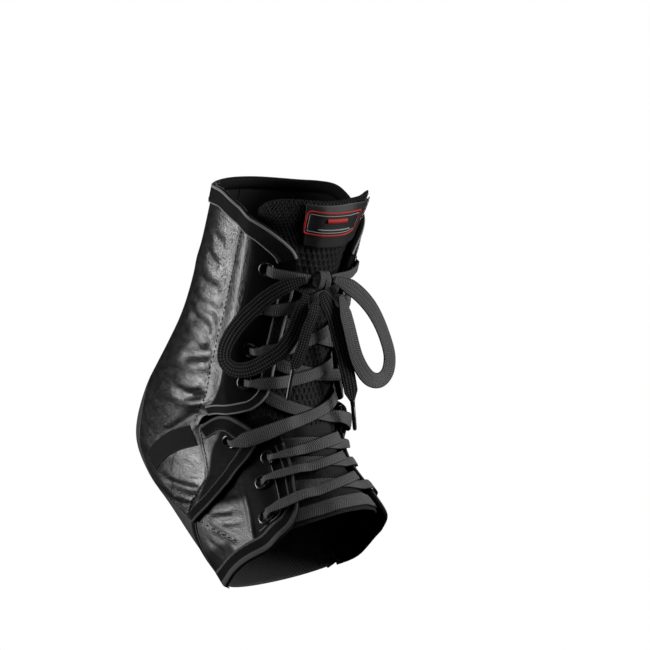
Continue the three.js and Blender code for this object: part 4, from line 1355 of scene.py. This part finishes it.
def top_run(side):
    """Rings of the lace from a top eyelet to the side of the knot."""
    t0, a0, _ = EYELETS[0]
    edge = float(edge_angle(t0))
    tk, ak, hk = KNOT
    direction = unit(on_form(tk, ak + side) - on_form(tk, ak))
    stop = walk(np.array([tk]), np.array([ak]), direction[None], np.array([(KNOT_SIZE[0] - 1.5) * MM + GAP]))
    over = (float(outer_top(np.array([t0]), np.array([edge + 4]))[0]) + GAP * 2.5 + LACE_THICK / 2) / MM
    low = float(panel_top(t0, a0 * side)) / MM
    places = [
        (t0, a0 * side, low - 0.4), (t0, (a0 - 2.0) * side, low + 1.4), (t0, (a0 - 5.5) * side, over),
        (t0, (edge + 10) * side, over), (t0, edge * side, over + 0.4),
        ((t0 + tk) / 2, (edge - 6) * side, max(over, hk - 1)), (tk, float(stop[1][0]), hk - 1.0),
    ]
    return strap_rings(places, 70, LACE_NARROW + 1.8 * MM, (0.7, 0.9))[0]


KNOT_WRAPS = ((-1.8, 0.1), (1.8, -0.1))     # shift in millimetres and lean of the two turns of lace
WRAP_WIDTH = 3.3 * MM


def add_knot():
    """A lump of wound lace with a waist, two turns of lace over it, and the runs that reach it."""
    centre = lifted(KNOT[0], KNOT[1], KNOT[2] * MM)
    _, around, normal = slopes(KNOT[0], KNOT[1])
    around = unit(around)
    down = unit(np.cross(around, normal))
    wide, high, deep = (x * MM * KNOT_SHARE for x in KNOT_SIZE)
    profile = []
    for v in np.linspace(0.02, math.pi - 0.02, 36):
        waist = 1 - 0.12 * math.exp(-(math.cos(v) / 0.25) ** 2)
        profile.append((math.cos(v) * wide, math.sin(v) ** 0.8 * waist))
    rings = turned(profile, centre, around, normal * high * 0.92, down * deep * 0.9, 48)
    finish_piece(tube_mesh("bow_knot_body", rings), LACE, ["bow_knot"])
    p = np.linspace(0, 2 * math.pi, 73)[:, None]
    out = unit(normal * (np.sin(p) / high) + down * (np.cos(p) / deep))
    for k, (shift, lean) in enumerate(KNOT_WRAPS):
        middle = (centre + around * (shift * MM + lean * deep * np.cos(p))
                  + normal * high * 1.04 * np.sin(p) + down * deep * 1.02 * np.cos(p))
        side = unit(np.cross(unit(np.gradient(middle, axis=0)), out))
        rings = [middle + side * x + out * h for x, h in lace_profile(WRAP_WIDTH, WRAP_THICK)]
        obj = tube_mesh(f"bow_knot_wrap_{k + 1}", np.stack(rings, 1), LACE_ACROSS)
        finish_piece(obj, LACE)
    for side, name in SIDES:
        obj = tube_mesh("lace_run_top_" + name, top_run(side), LACE_ACROSS)
        finish_piece(obj, LACE, ["lace_top_" + name])


# Label.

def label_edge(inset, t_low=0.147, t_high=0.203, reach=27.0, corner=3.0 * MM):
    """Closed rounded rectangle on the tongue, drawn in by `inset`."""
    half_w = reach * DEGREE_LENGTH - inset
    half_h = (t_high - t_low) * STATION_LENGTH / 2 - inset
    r = max(corner - inset, 0.6 * MM)
    corners = []
    for quadrant, (sx, sy) in enumerate(((1, 1), (-1, 1), (-1, -1), (1, -1))):
        for q in np.linspace(0, math.pi / 2, 8) + quadrant * math.pi / 2:
            corners.append((sx * (half_w - r) + r * math.cos(q), sy * (half_h - r) + r * math.sin(q)))
    x, y = np.array(corners).T
    return (t_low + t_high) / 2 + y / STATION_LENGTH, x / DEGREE_LENGTH


def thread_loop(name, t, a, height, radius, material, closed=True, slot="woven_label"):
    """Raised satin-stitched line through spots on the form."""
    if closed:
        t, a = np.append(t, t[0]), np.append(a, a[0])
    fine = np.linspace(0, len(t) - 1, 260 if closed else 60)
    t, a = np.interp(fine, np.arange(len(t)), t), np.interp(fine, np.arange(len(a)), a)
    middle = lifted(t, a, height(t, a))
    normal = slopes(t, a)[2]
    ahead, behind = (middle[1:3], middle[-3:-1]) if closed else (middle[-1:], middle[:1])
    joined = np.gradient(np.vstack([behind, middle, ahead]), axis=0)
    forward = unit(joined[len(behind):len(behind) + len(middle)])
    side = unit(np.cross(forward, normal))
    rings = [middle + side * math.cos(q) * radius + normal * math.sin(q) * radius * 0.5 for q in circle(8)]
    return finish_piece(tube_mesh(name, np.stack(rings, 1)), material)


LABEL_MOTIF = {                  # plain bars: station, reach in degrees, radius in millimetres and thread
    "label_bar": (0.168, 9, 1.3, RED_THREAD),
    "label_line": (0.186, 15, 0.35, GREY_THREAD),
}


def add_label():
    ends = ([line[k] for line in (LABEL_TOP, LABEL_BOTTOM)] for k in (0, -1))
    place = patch(LABEL_TOP, LABEL_BOTTOM, *ends)
    obj, _, _ = cloth_slab("tongue_label_cloth", place, 60, 36, above(tongue_top, LABEL_LIFT), LABEL_THICK)
    finish_piece(obj, SATIN, ["tongue_label"])
    height = above(tongue_top, LABEL_LIFT + LABEL_THICK + 0.12 * MM)
    thread_loop("label_border", *label_edge(1.3 * MM), height, 0.5 * MM, RED_THREAD)
    thread_loop("label_inner_line", *label_edge(2.6 * MM), height, 0.22 * MM, GREY_THREAD)
    for line, (station, reach, radius, material) in LABEL_MOTIF.items():
        t, a = np.full(2, station), np.array([-reach, reach])
        thread_loop(line, t, a, height, radius * MM, material, closed=False)


# Floor and light.

def add_stage():
    """White floor that glows, so that it stays plain, and lights nothing else."""
    size = 4.0
    low = CAD_BOX[0][2] - 0.003
    points = [(-size, -size, low), (size, -size, low), (size, size, low), (-size, size, low)]
    floor = new_mesh("floor", points, [(0, 1, 2, 3)], np.array(points)[:, :2])
    n = Nodes("pale_floor")
    floor.data.materials.append(n.finish((0.0, 0.0, 0.0), 1.0, specular=0.0))
    n.shader.inputs["Emission Color"].default_value = (1, 1, 1, 1)
    n.shader.inputs["Emission Strength"].default_value = 1.0
    floor.visible_glossy = False
    floor.visible_diffuse = False
    floor.visible_shadow = False


LIGHT_TARGET = (0, -0.04, 0.07)
LIGHTS = (                       # place, width and height in metres, and power in watts
    ("side_box", (-1.0, 0.62, 0.14), (0.3, 1.0), 17),
    ("front_box", (-0.9, -1.1, 1.1), (0.7, 0.7), 2.6),
    ("right_box", (0.85, -1.0, 0.35), (0.5, 0.9), 21),
    ("rim_box", (0.95, 0.8, 0.1), (0.35, 0.9), 9),
    ("top_box", (0.0, 0.2, 1.3), (1.0, 1.0), 3),
)


def add_lights():
    """Five soft boxes, and a white world that lights nothing."""
    for name, place, size, power in LIGHTS:
        data = bpy.data.lights.new(name, "AREA")
        data.shape = "RECTANGLE"
        data.size, data.size_y = size
        data.energy = power
        light = bpy.data.objects.new(name, data)
        light.location = place
        light.rotation_euler = (Vector(LIGHT_TARGET) - Vector(place)).to_track_quat("-Z", "Y").to_euler()
        bpy.context.scene.collection.objects.link(light)
    world = bpy.data.worlds.new("studio")
    world.use_nodes = True
    world.node_tree.nodes["Background"].inputs[0].default_value = (1, 1, 1, 1)
    world.node_tree.nodes["Background"].inputs[1].default_value = 1.0
    world.cycles_visibility.diffuse = False
    world.cycles_visibility.glossy = False
    bpy.context.scene.world = world
    bpy.context.scene.view_settings.view_transform = "Standard"


add_camera()
add_free_laces()
add_laces()
add_knot()
for side, name in SIDES:
    add_panels(side, name)
    add_bindings(side, name)
    add_stitches(side, name)
    add_eyelets(side, name)
add_collar()
add_collar_stitches()
add_elastic()
add_tongue()
add_label()
add_stage()
add_lights()
